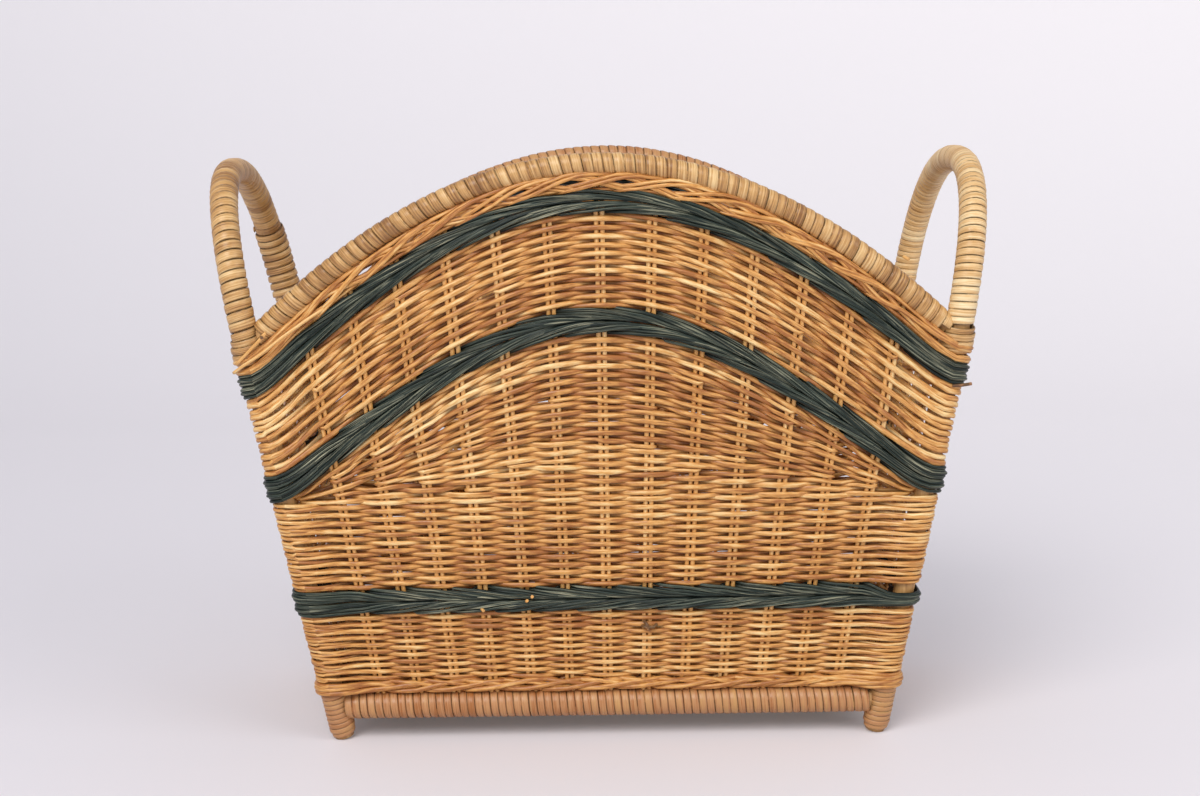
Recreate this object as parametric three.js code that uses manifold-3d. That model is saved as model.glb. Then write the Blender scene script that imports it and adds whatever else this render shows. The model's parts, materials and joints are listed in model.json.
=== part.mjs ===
// Wicker magazine basket: two bent end hoops that are feet, posts and handles in one,
// wrapped rails and rims between them, paired stakes, woven panels and three raised wale bands.
// Millimetres, +Z up, floor at Z = 0, long walls facing -Y and +Y, handles over the -X and +X ends.

import * as THREE from "three";
import { mergeVertices } from "three/addons/utils/BufferGeometryUtils.js";
import Module from "manifold-3d";

const wasm = await Module();
wasm.setup();

// Overall form
const footHalfSpan = 167;
const footHalfDepth = 67.5;
const collarHalfSpan = 210;
const collarHalfDepth = 100;
const collarHeight = 259;
const handleRise = 95.4;
const handleFullness = 2.4;
const rimSeatDrop = 7;
const rimArchRise = 105;
const railHeight = 22;
const backLeftSplay = 12;
const backRimLift = 2.5;

// Poles and what is wound round them
const poleRadius = 6.2;
const rimPoleRadius = 5.2;
const railPoleRadius = 6.2;
const handleWrapRadius = 8.3;
const rimWrapRadius = 7;
const railWrapRadius = 8.7;
const footWrapRadius = 8.3;
const footWrapStart = 1;
const grooveDepth = 0.5;
const lashingRadius = 10;
const lashingHeight = 17;
const postLoopRadius = 8.9;

// Reed work
const panelThickness = 4;
const weaveRelief = 1.9;
const courseHeight = 9.5;
const archCourseHeight = 6.4;
const floorCourseWidth = 22;
const bandHeight = 18;
const bandThickness = 3;
const chevronRelief = 1.1;
const waleStandOff = 1.4;
const waleBackStandOff = 4;

// Heights of what lies between the rims and the bands, at the posts and at the top of the arches
const topWaleEndHeight = 5.15;
const topWaleApexHeight = 4.3;
const upperPanelEndHeight = 46.6;
const upperPanelApexHeight = 51.4;
const fanTipHeight = 0.35;
const lowerBandShare = 0.492;
const middleFlatShare = 0.28;
const upperFlatShare = 0.16;

// Clearance between pieces that touch, and how far a cutter runs past what it cuts
const seam = 0.35;
const overrun = 4;

// Counts
const longStakesEachSide = 6;
const endStakesEachSide = 2;
const longEndBayShare = 1.25;
const endEndBayShare = 1.1;
const tubeSides = 8;
const handleSteps = 16;
const rimSteps = 16;
const handleRibsPerStep = 2;
const rimRibsPerStep = 3;
const cornerTurns = 2;
const settlePasses = 8;
const loopSeatShare = 0.25;

const mix = THREE.MathUtils.lerp;
const depthLean = (collarHalfDepth - footHalfDepth) / collarHeight;
const spanLean = (collarHalfSpan - footHalfSpan) / collarHeight;
const postStretch = Math.hypot(1, depthLean, spanLean);
const facetStretch = 1 / Math.cos(Math.PI / tubeSides);
const postBore = poleRadius * postStretch * facetStretch + seam;
const panelFace = panelThickness / 2 + weaveRelief;
const halfBand = bandHeight / 2;
const rimEndHeight = collarHeight - rimSeatDrop;
const rimApexHeight = rimEndHeight + rimArchRise;
const upperBandEnd = rimEndHeight - rimWrapRadius * postStretch - topWaleEndHeight - halfBand - 2 * seam;
const upperBandApex = rimApexHeight - rimWrapRadius - topWaleApexHeight - halfBand - 2 * seam;
const middleBandEnd = upperBandEnd - bandHeight - upperPanelEndHeight - 2 * seam;
const middleBandApex = upperBandApex - bandHeight - upperPanelApexHeight - 2 * seam;
const fanStartHeight = middleBandEnd - halfBand - fanTipHeight - seam;
const railTop = railHeight + railWrapRadius + seam;
const lowerBandHeight = mix(railTop, fanStartHeight, lowerBandShare);
const floorHeight = railTop + panelFace;

const postHalfSpan = (z) => footHalfSpan + spanLean * z;
const postHalfDepth = (z) => footHalfDepth + depthLean * z;
const boreAround = (radius) => radius * facetStretch + seam;

const vertical = new THREE.Vector3(0, 0, 1);

// A wall is a leaning plane: place() turns a place along it, a height and a level stand-off into a point
const longWall = {
  stakesEachSide: longStakesEachSide,
  endBayShare: longEndBayShare,
  postAt: postHalfSpan,
  normal: new THREE.Vector3(0, -1, -depthLean).normalize(),
  outward: new THREE.Vector3(0, -1, 0),
  base: (along, z) => new THREE.Vector3(along, -postHalfDepth(z), z),
};
const endWall = {
  stakesEachSide: endStakesEachSide,
  endBayShare: endEndBayShare,
  postAt: postHalfDepth,
  normal: new THREE.Vector3(1, 0, -spanLean).normalize(),
  outward: new THREE.Vector3(1, 0, 0),
  base: (along, z) => new THREE.Vector3(postHalfSpan(z), along, z),
};
const floorWall = {
  stakesEachSide: longStakesEachSide,
  endBayShare: longEndBayShare,
  postAt: () => postHalfSpan(floorHeight),
  outward: vertical,
  base: (along, across) => new THREE.Vector3(along, across, floorHeight),
};

function place(wall, along, z, standOff) {
  return wall.base(along, z).addScaledVector(wall.outward, standOff);
}

function stakeAt(wall, stake, z) {
  return (wall.postAt(z) * stake) / (wall.stakesEachSide + wall.endBayShare);
}

// Stakes by number, from the left post to the right post, with 0 in the middle
function stakeNumbers(wall) {
  return [...Array(2 * wall.stakesEachSide + 1).keys()].map((stake) => stake - wall.stakesEachSide);
}

// Geometry with positions only and no shared vertices
function bare(geometry) {
  const plain = geometry.index ? geometry.toNonIndexed() : geometry.clone();
  plain.deleteAttribute("normal");
  plain.deleteAttribute("uv");
  return plain;
}

// Turns a closed surface so that its faces point out
function outward(geometry) {
  const plain = bare(geometry);
  const position = plain.attributes.position;
  const a = new THREE.Vector3();
  const b = new THREE.Vector3();
  const c = new THREE.Vector3();
  let volume = 0;
  for (let corner = 0; corner < position.count; corner += 3) {
    a.fromBufferAttribute(position, corner);
    b.fromBufferAttribute(position, corner + 1);
    c.fromBufferAttribute(position, corner + 2);
    volume += a.dot(b.cross(c));
  }
  if (volume < 0) {
    for (let corner = 0; corner < position.count; corner += 3) {
      b.fromBufferAttribute(position, corner + 1);
      c.fromBufferAttribute(position, corner + 2);
      position.setXYZ(corner + 1, c.x, c.y, c.z);
      position.setXYZ(corner + 2, b.x, b.y, b.z);
    }
  }
  return plain;
}

function toSolid(geometry) {
  const merged = mergeVertices(outward(geometry));
  const vertProperties = Float32Array.from(merged.attributes.position.array);
  const triVerts = Uint32Array.from(merged.index.array);
  return new wasm.Manifold(new wasm.Mesh({ numProp: 3, vertProperties, triVerts }));
}

function toGeometry(solid) {
  const mesh = solid.getMesh();
  const geometry = new THREE.BufferGeometry();
  const positions = new Float32Array(mesh.numVert * 3);
  for (let vertex = 0; vertex < mesh.numVert; vertex += 1) {
    for (let axis = 0; axis < 3; axis += 1) {
      positions[vertex * 3 + axis] = mesh.vertProperties[vertex * mesh.numProp + axis];
    }
  }
  geometry.setAttribute("position", new THREE.BufferAttribute(positions, 3));
  geometry.setIndex(new THREE.BufferAttribute(Uint32Array.from(mesh.triVerts), 1));
  return bare(geometry);
}

// Cuts every cutter out of a body
function cut(body, cutters) {
  return toGeometry(cutters.reduce((rest, cutter) => rest.subtract(toSolid(cutter)), toSolid(body)));
}

// Joins pieces that are one piece on the basket
function join(body, others) {
  return toGeometry(others.reduce((whole, other) => whole.add(toSolid(other)), toSolid(body)));
}

// Surface through a row of sections with as many points each. An open run is capped at both
// ends by rungs between opposite points; a closed run joins its last section to its first.
function loft(sections, closed = false, flips = () => false) {
  const size = sections[0].length;
  const corners = [];
  const face = (a, b, c) => corners.push(a, b, c);
  const quad = (a, b, c, d, flipped) => {
    if (flipped) {
      face(a, b, d);
      face(b, c, d);
    } else {
      face(a, b, c);
      face(a, c, d);
    }
  };
  const runs = closed ? sections.length : sections.length - 1;
  for (let run = 0; run < runs; run += 1) {
    const here = sections[run];
    const next = sections[(run + 1) % sections.length];
    for (let k = 0; k < size; k += 1) {
      const up = (k + 1) % size;
      quad(here[k], next[k], next[up], here[up], flips(run, k));
    }
  }
  if (!closed) {
    const cap = (section, back) => {
      for (let k = 0; k < size / 2 - 1; k += 1) {
        const rung = [section[k], section[k + 1], section[size - 2 - k], section[size - 1 - k]];
        quad(...(back ? rung.reverse() : rung), false);
      }
    };
    cap(sections[0], false);
    cap(sections[sections.length - 1], true);
  }
  const geometry = new THREE.BufferGeometry().setFromPoints(corners);
  return outward(geometry);
}

// A path whose rings stand at equal steps of its own parameter
class SteppedPath extends THREE.Curve {
  constructor(pointAt) {
    super();
    this.pointAt = pointAt;
  }

  getPoint(t, target = new THREE.Vector3()) {
    return target.copy(this.pointAt(t));
  }

  getUtoTmapping(u) {
    return u;
  }
}

function circle(radius, sides) {
  const points = [];
  for (let side = 0; side < sides; side += 1) {
    const turn = (2 * Math.PI * side) / sides;
    points.push(new THREE.Vector2(radius * Math.cos(turn), radius * Math.sin(turn)));
  }
  return new THREE.Shape(points);
}

function tube(path, radius, sides, steps) {
  return bare(new THREE.ExtrudeGeometry(circle(radius, sides), { steps, extrudePath: path, bevelEnabled: false }));
}

// One turn of peel after another round a pole: a crest to each rib with a groove on both sides
function windingSleeve(path, planeNormal, steps, ribsPerStep, bore, crest) {
  const outer = [];
  const ribs = steps * ribsPerStep;
  if (ribs === 0) {
    for (let step = 0; step <= steps; step += 1) {
      outer.push([step / steps, crest]);
    }
  } else {
    for (let rib = 0; rib < ribs; rib += 1) {
      outer.push([rib / ribs, crest - grooveDepth]);
      outer.push([(rib + 0.5) / ribs, crest]);
    }
    outer.push([1, crest - grooveDepth]);
  }
  const profile = [...outer];
  for (let step = steps; step >= 0; step -= 1) {
    profile.push([step / steps, bore]);
  }
  const spans = profile.map(([t, radius]) => {
    const along = path.getTangent(t);
    return { centre: path.getPoint(t), radius, side: new THREE.Vector3().crossVectors(planeNormal, along).normalize() };
  });
  const sections = [];
  for (let side = 0; side < tubeSides; side += 1) {
    const turn = (2 * Math.PI * side) / tubeSides;
    sections.push(
      spans.map(({ centre, radius, side: across }) =>
        centre
          .clone()
          .addScaledVector(planeNormal, radius * Math.cos(turn))
          .addScaledVector(across, radius * Math.sin(turn)),
      ),
    );
  }
  return loft(sections, true);
}

// Ring round a corner post, from a profile of radius and height. Its ends are level, or with a
// tilt of 1 they lie square to the end wall.
function postRing(profile, signX, signY, tilt = 0) {
  const points = profile.map(([radius, z]) => new THREE.Vector2(radius, z));
  const ring = new THREE.LatheGeometry(points, tubeSides).rotateX(Math.PI / 2);
  const lean = new THREE.Matrix4().set(
    1, 0, signX * spanLean, signX * footHalfSpan,
    0, 1, signY * depthLean, signY * footHalfDepth,
    -signX * spanLean * tilt, 0, 1, 0,
    0, 0, 0, 1,
  );
  return outward(ring.applyMatrix4(lean));
}

function postCore(radius, bottom, top, signX, signY) {
  return postRing([[0, bottom], [radius, bottom], [radius, top], [0, top]], signX, signY);
}

// End hoop: up one post, over as the handle, and down the other post, in the plane of the end wall
const hoopPieces = handleSteps + 2;

function hoopPoint(across, z) {
  return new THREE.Vector3(postHalfSpan(z), across, z);
}

function handlePoint(share) {
  const turn = Math.PI * share;
  const reach = Math.pow(Math.abs(Math.cos(turn)), 2 / handleFullness) * Math.sign(Math.cos(turn));
  const rise = Math.pow(Math.abs(Math.sin(turn)), 2 / handleFullness);
  return hoopPoint(-collarHalfDepth * reach, collarHeight + handleRise * rise);
}

const hoopPath = new SteppedPath((t) => {
  const piece = t * hoopPieces;
  if (piece < 1) {
    const z = mix(-overrun, collarHeight, piece);
    return hoopPoint(-postHalfDepth(z), z);
  }
  if (piece > hoopPieces - 1) {
    const z = mix(-overrun, collarHeight, hoopPieces - piece);
    return hoopPoint(postHalfDepth(z), z);
  }
  return handlePoint((piece - 1) / handleSteps);
});
const handlePath = new SteppedPath(handlePoint);

function endHoop() {
  const belowFloor = new THREE.BoxGeometry(2 * collarHalfSpan, 2 * collarHalfDepth, 2 * overrun);
  belowFloor.translate(footHalfSpan, 0, -overrun);
  return cut(tube(hoopPath, poleRadius, tubeSides, hoopPieces), [belowFloor]);
}

function handleWrap() {
  const sleeve = [handlePath, endWall.normal, handleSteps, handleRibsPerStep];
  return windingSleeve(...sleeve, boreAround(poleRadius), handleWrapRadius);
}

// Arches over the long walls: share of the fall from the apex at a share of the half span
function archFall(share, flatShare) {
  return (1 - flatShare) * share * share + (flatShare * (1 - Math.cos(Math.PI * share))) / 2;
}

function makeArch(apex, end, flatShare) {
  const reach = postHalfSpan(end);
  return { end, reach, heightAt: (along) => mix(apex, end, archFall(along / reach, flatShare)) };
}

const rimArch = makeArch(rimApexHeight, rimEndHeight, 0);
const lowerArch = makeArch(lowerBandHeight, lowerBandHeight, 0);
const middleArch = makeArch(middleBandApex, middleBandEnd, middleFlatShare);
const upperArch = makeArch(upperBandApex, upperBandEnd, upperFlatShare);

// How far above its own centre line a wrap of this radius reaches on the sloping rim
function rimRise(along, radius) {
  const slope = (2 * rimArchRise * along) / (rimArch.reach * rimArch.reach);
  return radius * Math.hypot(1, slope);
}

const rimSag = (rimArchRise * Math.pow(2 / rimSteps, 2)) / 4;
const rimUnderside = (along) => rimArch.heightAt(along) - rimRise(along, rimWrapRadius) - rimSag - seam;

// An edge of a piece on a wall: its height on each stake, straight between them, and at the posts
function edgeOn(wall, heightAt, postZ) {
  const onStake = (stake) => {
    let z = postZ;
    for (let pass = 0; pass < settlePasses; pass += 1) {
      z = heightAt(stakeAt(wall, stake, z));
    }
    return z;
  };
  return { onStake, postZ };
}

const archEdge = (arch, offset) => edgeOn(longWall, (along) => arch.heightAt(along) + offset, arch.end + offset);
const levelEdge = (z) => ({ onStake: () => z, postZ: z });
const underRim = edgeOn(longWall, rimUnderside, rimUnderside(rimArch.reach));

// Height of an edge between the last stake and the post, at a place along the wall
function edgeBeyondStakes(wall, edge, along) {
  const stakeZ = edge.onStake(wall.stakesEachSide);
  const stakeAlong = stakeAt(wall, wall.stakesEachSide, stakeZ);
  return mix(stakeZ, edge.postZ, (along - stakeAlong) / (wall.postAt(edge.postZ) - stakeAlong));
}

function edgeBesidePost(wall, edge, inset) {
  let z = edge.postZ;
  for (let pass = 0; pass < settlePasses; pass += 1) {
    z = edgeBeyondStakes(wall, edge, wall.postAt(z) - inset);
  }
  return z;
}

// Ring round a corner post whose ends follow two edges of the long wall
function fittedRing(bore, radius, bottom, top, signX, signY) {
  const profile = [[bore, 0], [radius, 0], [radius, 1], [bore, 1], [bore, 0]];
  const points = profile.map(([reach, share]) => new THREE.Vector2(reach, share));
  const ring = new THREE.LatheGeometry(points, tubeSides).rotateX(Math.PI / 2);
  const position = ring.attributes.position;
  for (let vertex = 0; vertex < position.count; vertex += 1) {
    const x = position.getX(vertex);
    const inset = Math.max(0, -signX * x);
    const ends = [bottom, top].map((edge) => edgeBesidePost(longWall, edge, inset));
    const z = mix(...ends, position.getZ(vertex));
    position.setXYZ(vertex, signX * postHalfSpan(z) + x, position.getY(vertex) + signY * postHalfDepth(z), z);
  }
  return outward(ring);
}

// Places of a piece's columns: both ends beside the posts, and every stake between them
function edgeColumns(wall, bottom, top, inset) {
  const side = (sign) => ({
    stake: sign * (wall.stakesEachSide + 1),
    low: edgeBesidePost(wall, bottom, inset),
    high: edgeBesidePost(wall, top, inset),
    alongAt: (z) => sign * (wall.postAt(z) - inset),
  });
  const stakes = stakeNumbers(wall).map((stake) => ({
    stake,
    low: bottom.onStake(stake),
    high: top.onStake(stake),
    alongAt: (z) => stakeAt(wall, stake, z),
  }));
  return [side(-1), ...stakes, side(1)];
}

const panelInset = postLoopRadius + seam;
const lashingInset = lashingRadius * postStretch + seam;
const loopInset = mix(postBore, postLoopRadius, loopSeatShare);

// Edges of the panels: a clearance away from the rails, bands and rims
const underEndRim = levelEdge(rimEndHeight - rimWrapRadius * postStretch - seam);
const aboveRail = levelEdge(railTop);
const belowLower = levelEdge(lowerBandHeight - halfBand - seam);
const aboveLower = levelEdge(lowerBandHeight + halfBand + seam);
const belowMiddle = levelEdge(middleBandEnd - halfBand - seam);
const aboveMiddle = levelEdge(middleBandEnd + halfBand + seam);
const belowUpper = levelEdge(upperBandEnd - halfBand - seam);
const aboveUpper = levelEdge(upperBandEnd + halfBand + seam);
const belowMiddleArch = archEdge(middleArch, -halfBand - seam);
const aboveMiddleArch = archEdge(middleArch, halfBand + seam);
const belowUpperArch = archEdge(upperArch, -halfBand - seam);
const aboveUpperArch = archEdge(upperArch, halfBand + seam);

// Woven panel: over one stake and under the next, the other way round on the next course.
// The stakes are inside it, and its columns stand on them.
function wovenPanel(wall, bottom, top, inset = panelInset, course = courseHeight) {
  const columns = edgeColumns(wall, bottom, top, inset);
  const tallest = Math.max(...columns.map(({ low, high }) => high - low));
  const courses = Math.max(1, Math.round(tallest / course));
  const sections = columns.map(({ stake, low, high, alongAt }) => {
    const face = (standOff) => (row) => {
      const z = mix(low, high, row / courses);
      const wave = (stake + row) % 2 === 0 ? weaveRelief : -weaveRelief;
      return place(wall, alongAt(z), z, standOff + wave);
    };
    const rows = [...Array(courses + 1).keys()];
    return [...rows.map(face(panelThickness / 2)), ...rows.reverse().map(face(-panelThickness / 2))];
  });
  return loft(sections, false, (run, k) => (run + k) % 2 === 0);
}

// A panel whose weavers are also taken round both posts
function loopedPanel(bottom, top, course = courseHeight) {
  const loops = frontPosts.map((signs) => fittedRing(postBore, postLoopRadius, bottom, top, ...signs));
  return join(wovenPanel(longWall, bottom, top, loopInset, course), loops);
}

// Flat wale of three strands between the upper band and a rim
function topWale(wall, bottom, top) {
  const sections = edgeColumns(wall, bottom, top, lashingInset).map(({ low, high, alongAt }) => [
    place(wall, alongAt(low), low, -waleBackStandOff),
    place(wall, alongAt(low), low, waleStandOff + bandThickness),
    place(wall, alongAt(high), high, waleStandOff + bandThickness),
    place(wall, alongAt(high), high, -waleBackStandOff),
  ]);
  return loft(sections);
}

// Raised band: right round the basket and outside its posts. Each section is bent like an arrow
// head whose point is a column ahead, and every second one is a crest.
function bandRing(arch) {
  const edges = [archEdge(arch, -halfBand), archEdge(arch, halfBand)];
  const onWall = (wall, [low, high], stake) => {
    const spot = (z, standOff) => place(wall, stakeAt(wall, stake, z), z, standOff);
    return { spot, low: low.onStake(stake), high: high.onStake(stake), near: -waleBackStandOff, far: waleStandOff };
  };
  const roundPost = (signY, turn) => {
    const spot = (z, radius) => {
      const x = postHalfSpan(z) + radius * Math.cos(turn);
      return new THREE.Vector3(x, signY * postHalfDepth(z) + radius * Math.sin(turn), z);
    };
    return { spot, low: arch.end - halfBand, high: arch.end + halfBand, near: postBore, far: postBore };
  };
  const turns = [...Array(cornerTurns + 1).keys()].map((turn) => ((turn / cornerTurns) * Math.PI) / 2);
  const endEdges = [levelEdge(arch.end - halfBand), levelEdge(arch.end + halfBand)];
  const columns = [
    ...stakeNumbers(longWall).map((stake) => onWall(longWall, edges, stake)),
    ...turns.map((turn) => roundPost(-1, turn - Math.PI / 2)),
    ...stakeNumbers(endWall).map((stake) => onWall(endWall, endEdges, stake)),
    ...turns.map((turn) => roundPost(1, turn)),
  ];
  const ring = [0, 1].flatMap((half) => columns.map((column) => ({ ...column, half })));
  const at = ({ spot, half }, z, standOff) => spot(z, standOff).applyAxisAngle(vertical, half * Math.PI);
  const sections = ring.map((here, index) => {
    const ahead = ring[(index + 1) % ring.length];
    const { low, high, near } = here;
    const height = bandThickness + (index % 2) * chevronRelief;
    const point = at(ahead, mix(ahead.low, ahead.high, 0.5), ahead.far + height);
    const edge = here.far + height;
    return [at(here, low, near), at(here, low, edge), point, at(here, high, edge), at(here, high, near)];
  });
  return loft(sections, true, (run, k) => k === 2);
}

// Rails and rims: a pole between two posts, coped to them, and its wrapping
const wrapStandOff = Math.max(footWrapRadius, railWrapRadius, lashingRadius) + seam;

function spanPole(path, radius, steps, signs) {
  const cutters = signs.flatMap(([signX, signY]) => {
    const toCorner = (point) => point.multiply(new THREE.Vector3(signX, -signY, 1));
    const handleStart = new THREE.LineCurve3(toCorner(handlePoint(0)), toCorner(handlePoint(1 / handleSteps)));
    handleStart.v1.lerp(handleStart.v2, -1 / handleSteps);
    const underWrap = tube(handleStart, boreAround(handleWrapRadius), tubeSides, 1);
    return [postCore(postBore, -overrun, collarHeight, signX, signY), underWrap];
  });
  return cut(tube(path, radius, tubeSides, steps), cutters);
}

const frontPosts = [[-1, -1], [1, -1]];
const rightPosts = [[1, -1], [1, 1]];
const corners = [["front_left", -1, -1], ["front_right", 1, -1], ["back_right", 1, 1], ["back_left", -1, 1]];

function straightPath(wall, z, standOff) {
  const reach = wall.postAt(z) - standOff;
  return new SteppedPath((t) => place(wall, mix(-reach, reach, t), z, 0));
}

function rimPath(inset) {
  const reach = rimArch.reach - inset;
  return new SteppedPath((t) => {
    const along = mix(-reach, reach, t);
    return place(longWall, along, rimArch.heightAt(along), 0);
  });
}

const poleInset = poleRadius + seam;

// Corner pieces
function footWrap(signX, signY) {
  const top = railHeight + railWrapRadius;
  const rounded = footWrapRadius - grooveDepth;
  const profile = [[postBore, footWrapStart], [rounded, footWrapStart], [footWrapRadius, 2 * footWrapStart]];
  profile.push([footWrapRadius, top], [postBore, top], [postBore, footWrapStart]);
  const sleeve = postRing(profile, signX, signY);
  return cut(sleeve, railCutters(signX, signY));
}

// Solids a clearance larger than the poles that pass through a corner wrapping
function railCutters(signX, signY) {
  const bore = railPoleRadius * facetStretch + seam;
  const post = new THREE.Vector3(signX * postHalfSpan(railHeight), signY * postHalfDepth(railHeight), railHeight);
  const inwardX = new THREE.Vector3(-signX * collarHalfDepth, 0, 0).add(post);
  const inwardY = new THREE.Vector3(0, -signY * footHalfDepth, 0).add(post);
  return [inwardX, inwardY].map((inner) => tube(new THREE.LineCurve3(post, inner), bore, tubeSides, 1));
}

// Peel lashed round a post under the handle's wrap, open on its inner side where the two rims come in
function lashing(signX, signY) {
  const top = collarHeight - seam;
  const bottom = top - lashingHeight;
  const waist = lashingRadius - grooveDepth;
  const profile = [[postBore, bottom], [waist, bottom], [lashingRadius, mix(bottom, top, 0.5)], [waist, top]];
  profile.push([postBore, top], [postBore, bottom]);
  const rimInnerX = rimArch.reach - 2 * lashingRadius;
  const endInnerY = -postHalfDepth(rimEndHeight) + 2 * lashingRadius;
  const lines = [
    [place(longWall, rimArch.reach, rimEndHeight, 0), place(longWall, rimInnerX, rimArch.heightAt(rimInnerX), 0)],
    [place(endWall, -postHalfDepth(rimEndHeight), rimEndHeight, 0), place(endWall, endInnerY, rimEndHeight, 0)],
  ];
  const toCorner = (point) => point.multiply(new THREE.Vector3(signX, -signY, 1));
  const passages = lines.map(([from, to]) => {
    const line = new THREE.LineCurve3(toCorner(from), toCorner(to));
    return tube(line, boreAround(rimWrapRadius), tubeSides, 1);
  });
  const innerCorner = new THREE.BoxGeometry(2 * lashingRadius, 2 * lashingRadius, lashingHeight);
  const boxX = postHalfSpan(rimEndHeight) - lashingRadius;
  const boxY = postHalfDepth(rimEndHeight) - lashingRadius;
  innerCorner.translate(signX * boxX, signY * boxY, rimEndHeight + lashingHeight / 2);
  const overBand = fittedRing(poleRadius, lashingRadius + overrun, belowUpper, aboveUpperArch, signX, signY);
  return cut(postRing(profile, signX, signY, 1), [...passages, innerCorner, overBand]);
}

// Floor: woven across its own stakes and let in between the four walls
const floorUnderside = floorHeight - panelFace;
const floorHalfWidth = postHalfDepth(floorUnderside) - (panelFace + seam) * postStretch;
const floorInset = postHalfSpan(floorHeight) - postHalfSpan(floorUnderside) + (panelFace + seam) * postStretch;

function floorPanel() {
  const edges = [levelEdge(-floorHalfWidth), levelEdge(floorHalfWidth)];
  const slab = wovenPanel(floorWall, ...edges, floorInset, floorCourseWidth);
  const reach = postLoopRadius * facetStretch + seam;
  return cut(slab, corners.map(([, signX, signY]) => postCore(reach, 0, floorHeight + 2 * overrun, signX, signY)));
}

// Materials
const finish = (color, roughness) => new THREE.MeshStandardMaterial({ color, roughness, metalness: 0, flatShading: true });
const rattanPole = finish(0xc49a62, 0.5);
const canePeel = finish(0xd1a467, 0.42);
const railPeel = finish(0xb27a4a, 0.48);
const naturalReed = finish(0xc08d4f, 0.6);
const greenReed = finish(0x3c4a43, 0.55);

const basket = new THREE.Group();

// The basket is bent by hand: its back left corner leans out further than the other three,
// and its back rim arches a little higher than the front one
function bentByHand(geometry) {
  const { position } = geometry.attributes;
  for (let corner = 0; corner < position.count; corner += 1) {
    const z = position.getZ(corner);
    const spanShare = position.getX(corner) / postHalfSpan(z);
    const leftShare = Math.max(-spanShare, 0);
    const backShare = (1 + position.getY(corner) / postHalfDepth(z)) / 2;
    const splay = (backLeftSplay * z) / collarHeight;
    const lift = (backRimLift * z * (1 - spanShare * spanShare)) / rimApexHeight;
    position.setX(corner, position.getX(corner) - splay * leftShare * leftShare * backShare);
    position.setZ(corner, z + lift * backShare);
  }
}

function add(name, geometry, material, halfTurns = 0) {
  const shaped = bare(geometry).rotateZ(halfTurns * Math.PI);
  bentByHand(shaped);
  shaped.computeVertexNormals();
  const mesh = new THREE.Mesh(shaped, material);
  mesh.name = name;
  basket.add(mesh);
}

// What stands on the front wall is repeated on the back wall, half a turn round; right and left alike
function addLong(part, geometry, material) {
  ["front", "back"].forEach((side, halfTurns) => add(`${side}_${part}`, geometry, material, halfTurns));
}

function addEnds(part, geometry, material) {
  ["right", "left"].forEach((side, halfTurns) => add(`${side}_${part}`, geometry, material, halfTurns));
}

addEnds("end_hoop", endHoop(), rattanPole);
addEnds("handle_wrap", handleWrap(), canePeel);

addLong("rim_pole", spanPole(rimPath(poleInset), rimPoleRadius, rimSteps, frontPosts), rattanPole);
const rimSleeve = [rimPath(lashingInset), longWall.normal, rimSteps, rimRibsPerStep];
addLong("rim_wrap", windingSleeve(...rimSleeve, boreAround(rimPoleRadius), rimWrapRadius), canePeel);

const endRimPole = straightPath(endWall, rimEndHeight, poleInset);
addEnds("end_rim_pole", spanPole(endRimPole, rimPoleRadius, 1, rightPosts), rattanPole);
const endRimSleeve = [straightPath(endWall, rimEndHeight, lashingInset), endWall.normal, 1, 0];
addEnds("end_rim_wrap", windingSleeve(...endRimSleeve, boreAround(rimPoleRadius), rimWrapRadius), canePeel);

for (const [wall, posts, addSides] of [[longWall, frontPosts, addLong], [endWall, rightPosts, addEnds]]) {
  addSides("base_rail", spanPole(straightPath(wall, railHeight, poleInset), railPoleRadius, 1, posts), rattanPole);
  const railSleeve = [straightPath(wall, railHeight, wrapStandOff), wall.normal, 1, 0];
  addSides("base_rail_wrap", windingSleeve(...railSleeve, boreAround(railPoleRadius), railWrapRadius), railPeel);
}

for (const [name, signX, signY] of corners) {
  add(`${name}_foot_wrap`, footWrap(signX, signY), canePeel);
  add(`${name}_lashing`, lashing(signX, signY), canePeel);
}

addLong("lower_panel", loopedPanel(aboveRail, belowLower), naturalReed);
addLong("middle_panel", loopedPanel(aboveLower, levelEdge(fanStartHeight - seam)), naturalReed);
const fanEdges = [levelEdge(fanStartHeight), belowMiddleArch];
addLong("fan_panel", wovenPanel(longWall, ...fanEdges, panelInset, archCourseHeight), naturalReed);
addLong("upper_panel", loopedPanel(aboveMiddleArch, belowUpperArch, archCourseHeight), naturalReed);
addLong("top_wale", topWale(longWall, aboveUpperArch, underRim), naturalReed);

addEnds("lower_panel", wovenPanel(endWall, aboveRail, belowLower), naturalReed);
addEnds("middle_panel", wovenPanel(endWall, aboveLower, belowMiddle), naturalReed);
addEnds("upper_panel", wovenPanel(endWall, aboveMiddle, belowUpper), naturalReed);
addEnds("top_wale", topWale(endWall, aboveUpper, underEndRim), naturalReed);

add("lower_green_band", bandRing(lowerArch), greenReed);
add("middle_green_band", bandRing(middleArch), greenReed);
add("upper_green_band", bandRing(upperArch), greenReed);
add("floor_panel", floorPanel(), naturalReed);

// The leaning corner reaches further than the others, so the basket is moved back over its origin
const reach = new THREE.Box3().setFromObject(basket);
const centring = -(reach.min.x + reach.max.x) / 2;
basket.children.forEach((mesh) => mesh.geometry.translate(centring, 0, 0));

export default basket;
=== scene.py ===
"""Wicker magazine basket: poles, cane windings, paired stakes, woven reeds and stained wale bands."""

import json

import bpy
import numpy as np
from bpy.props import FloatProperty, FloatVectorProperty, IntProperty, PointerProperty
from mathutils import Matrix, Vector


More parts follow.
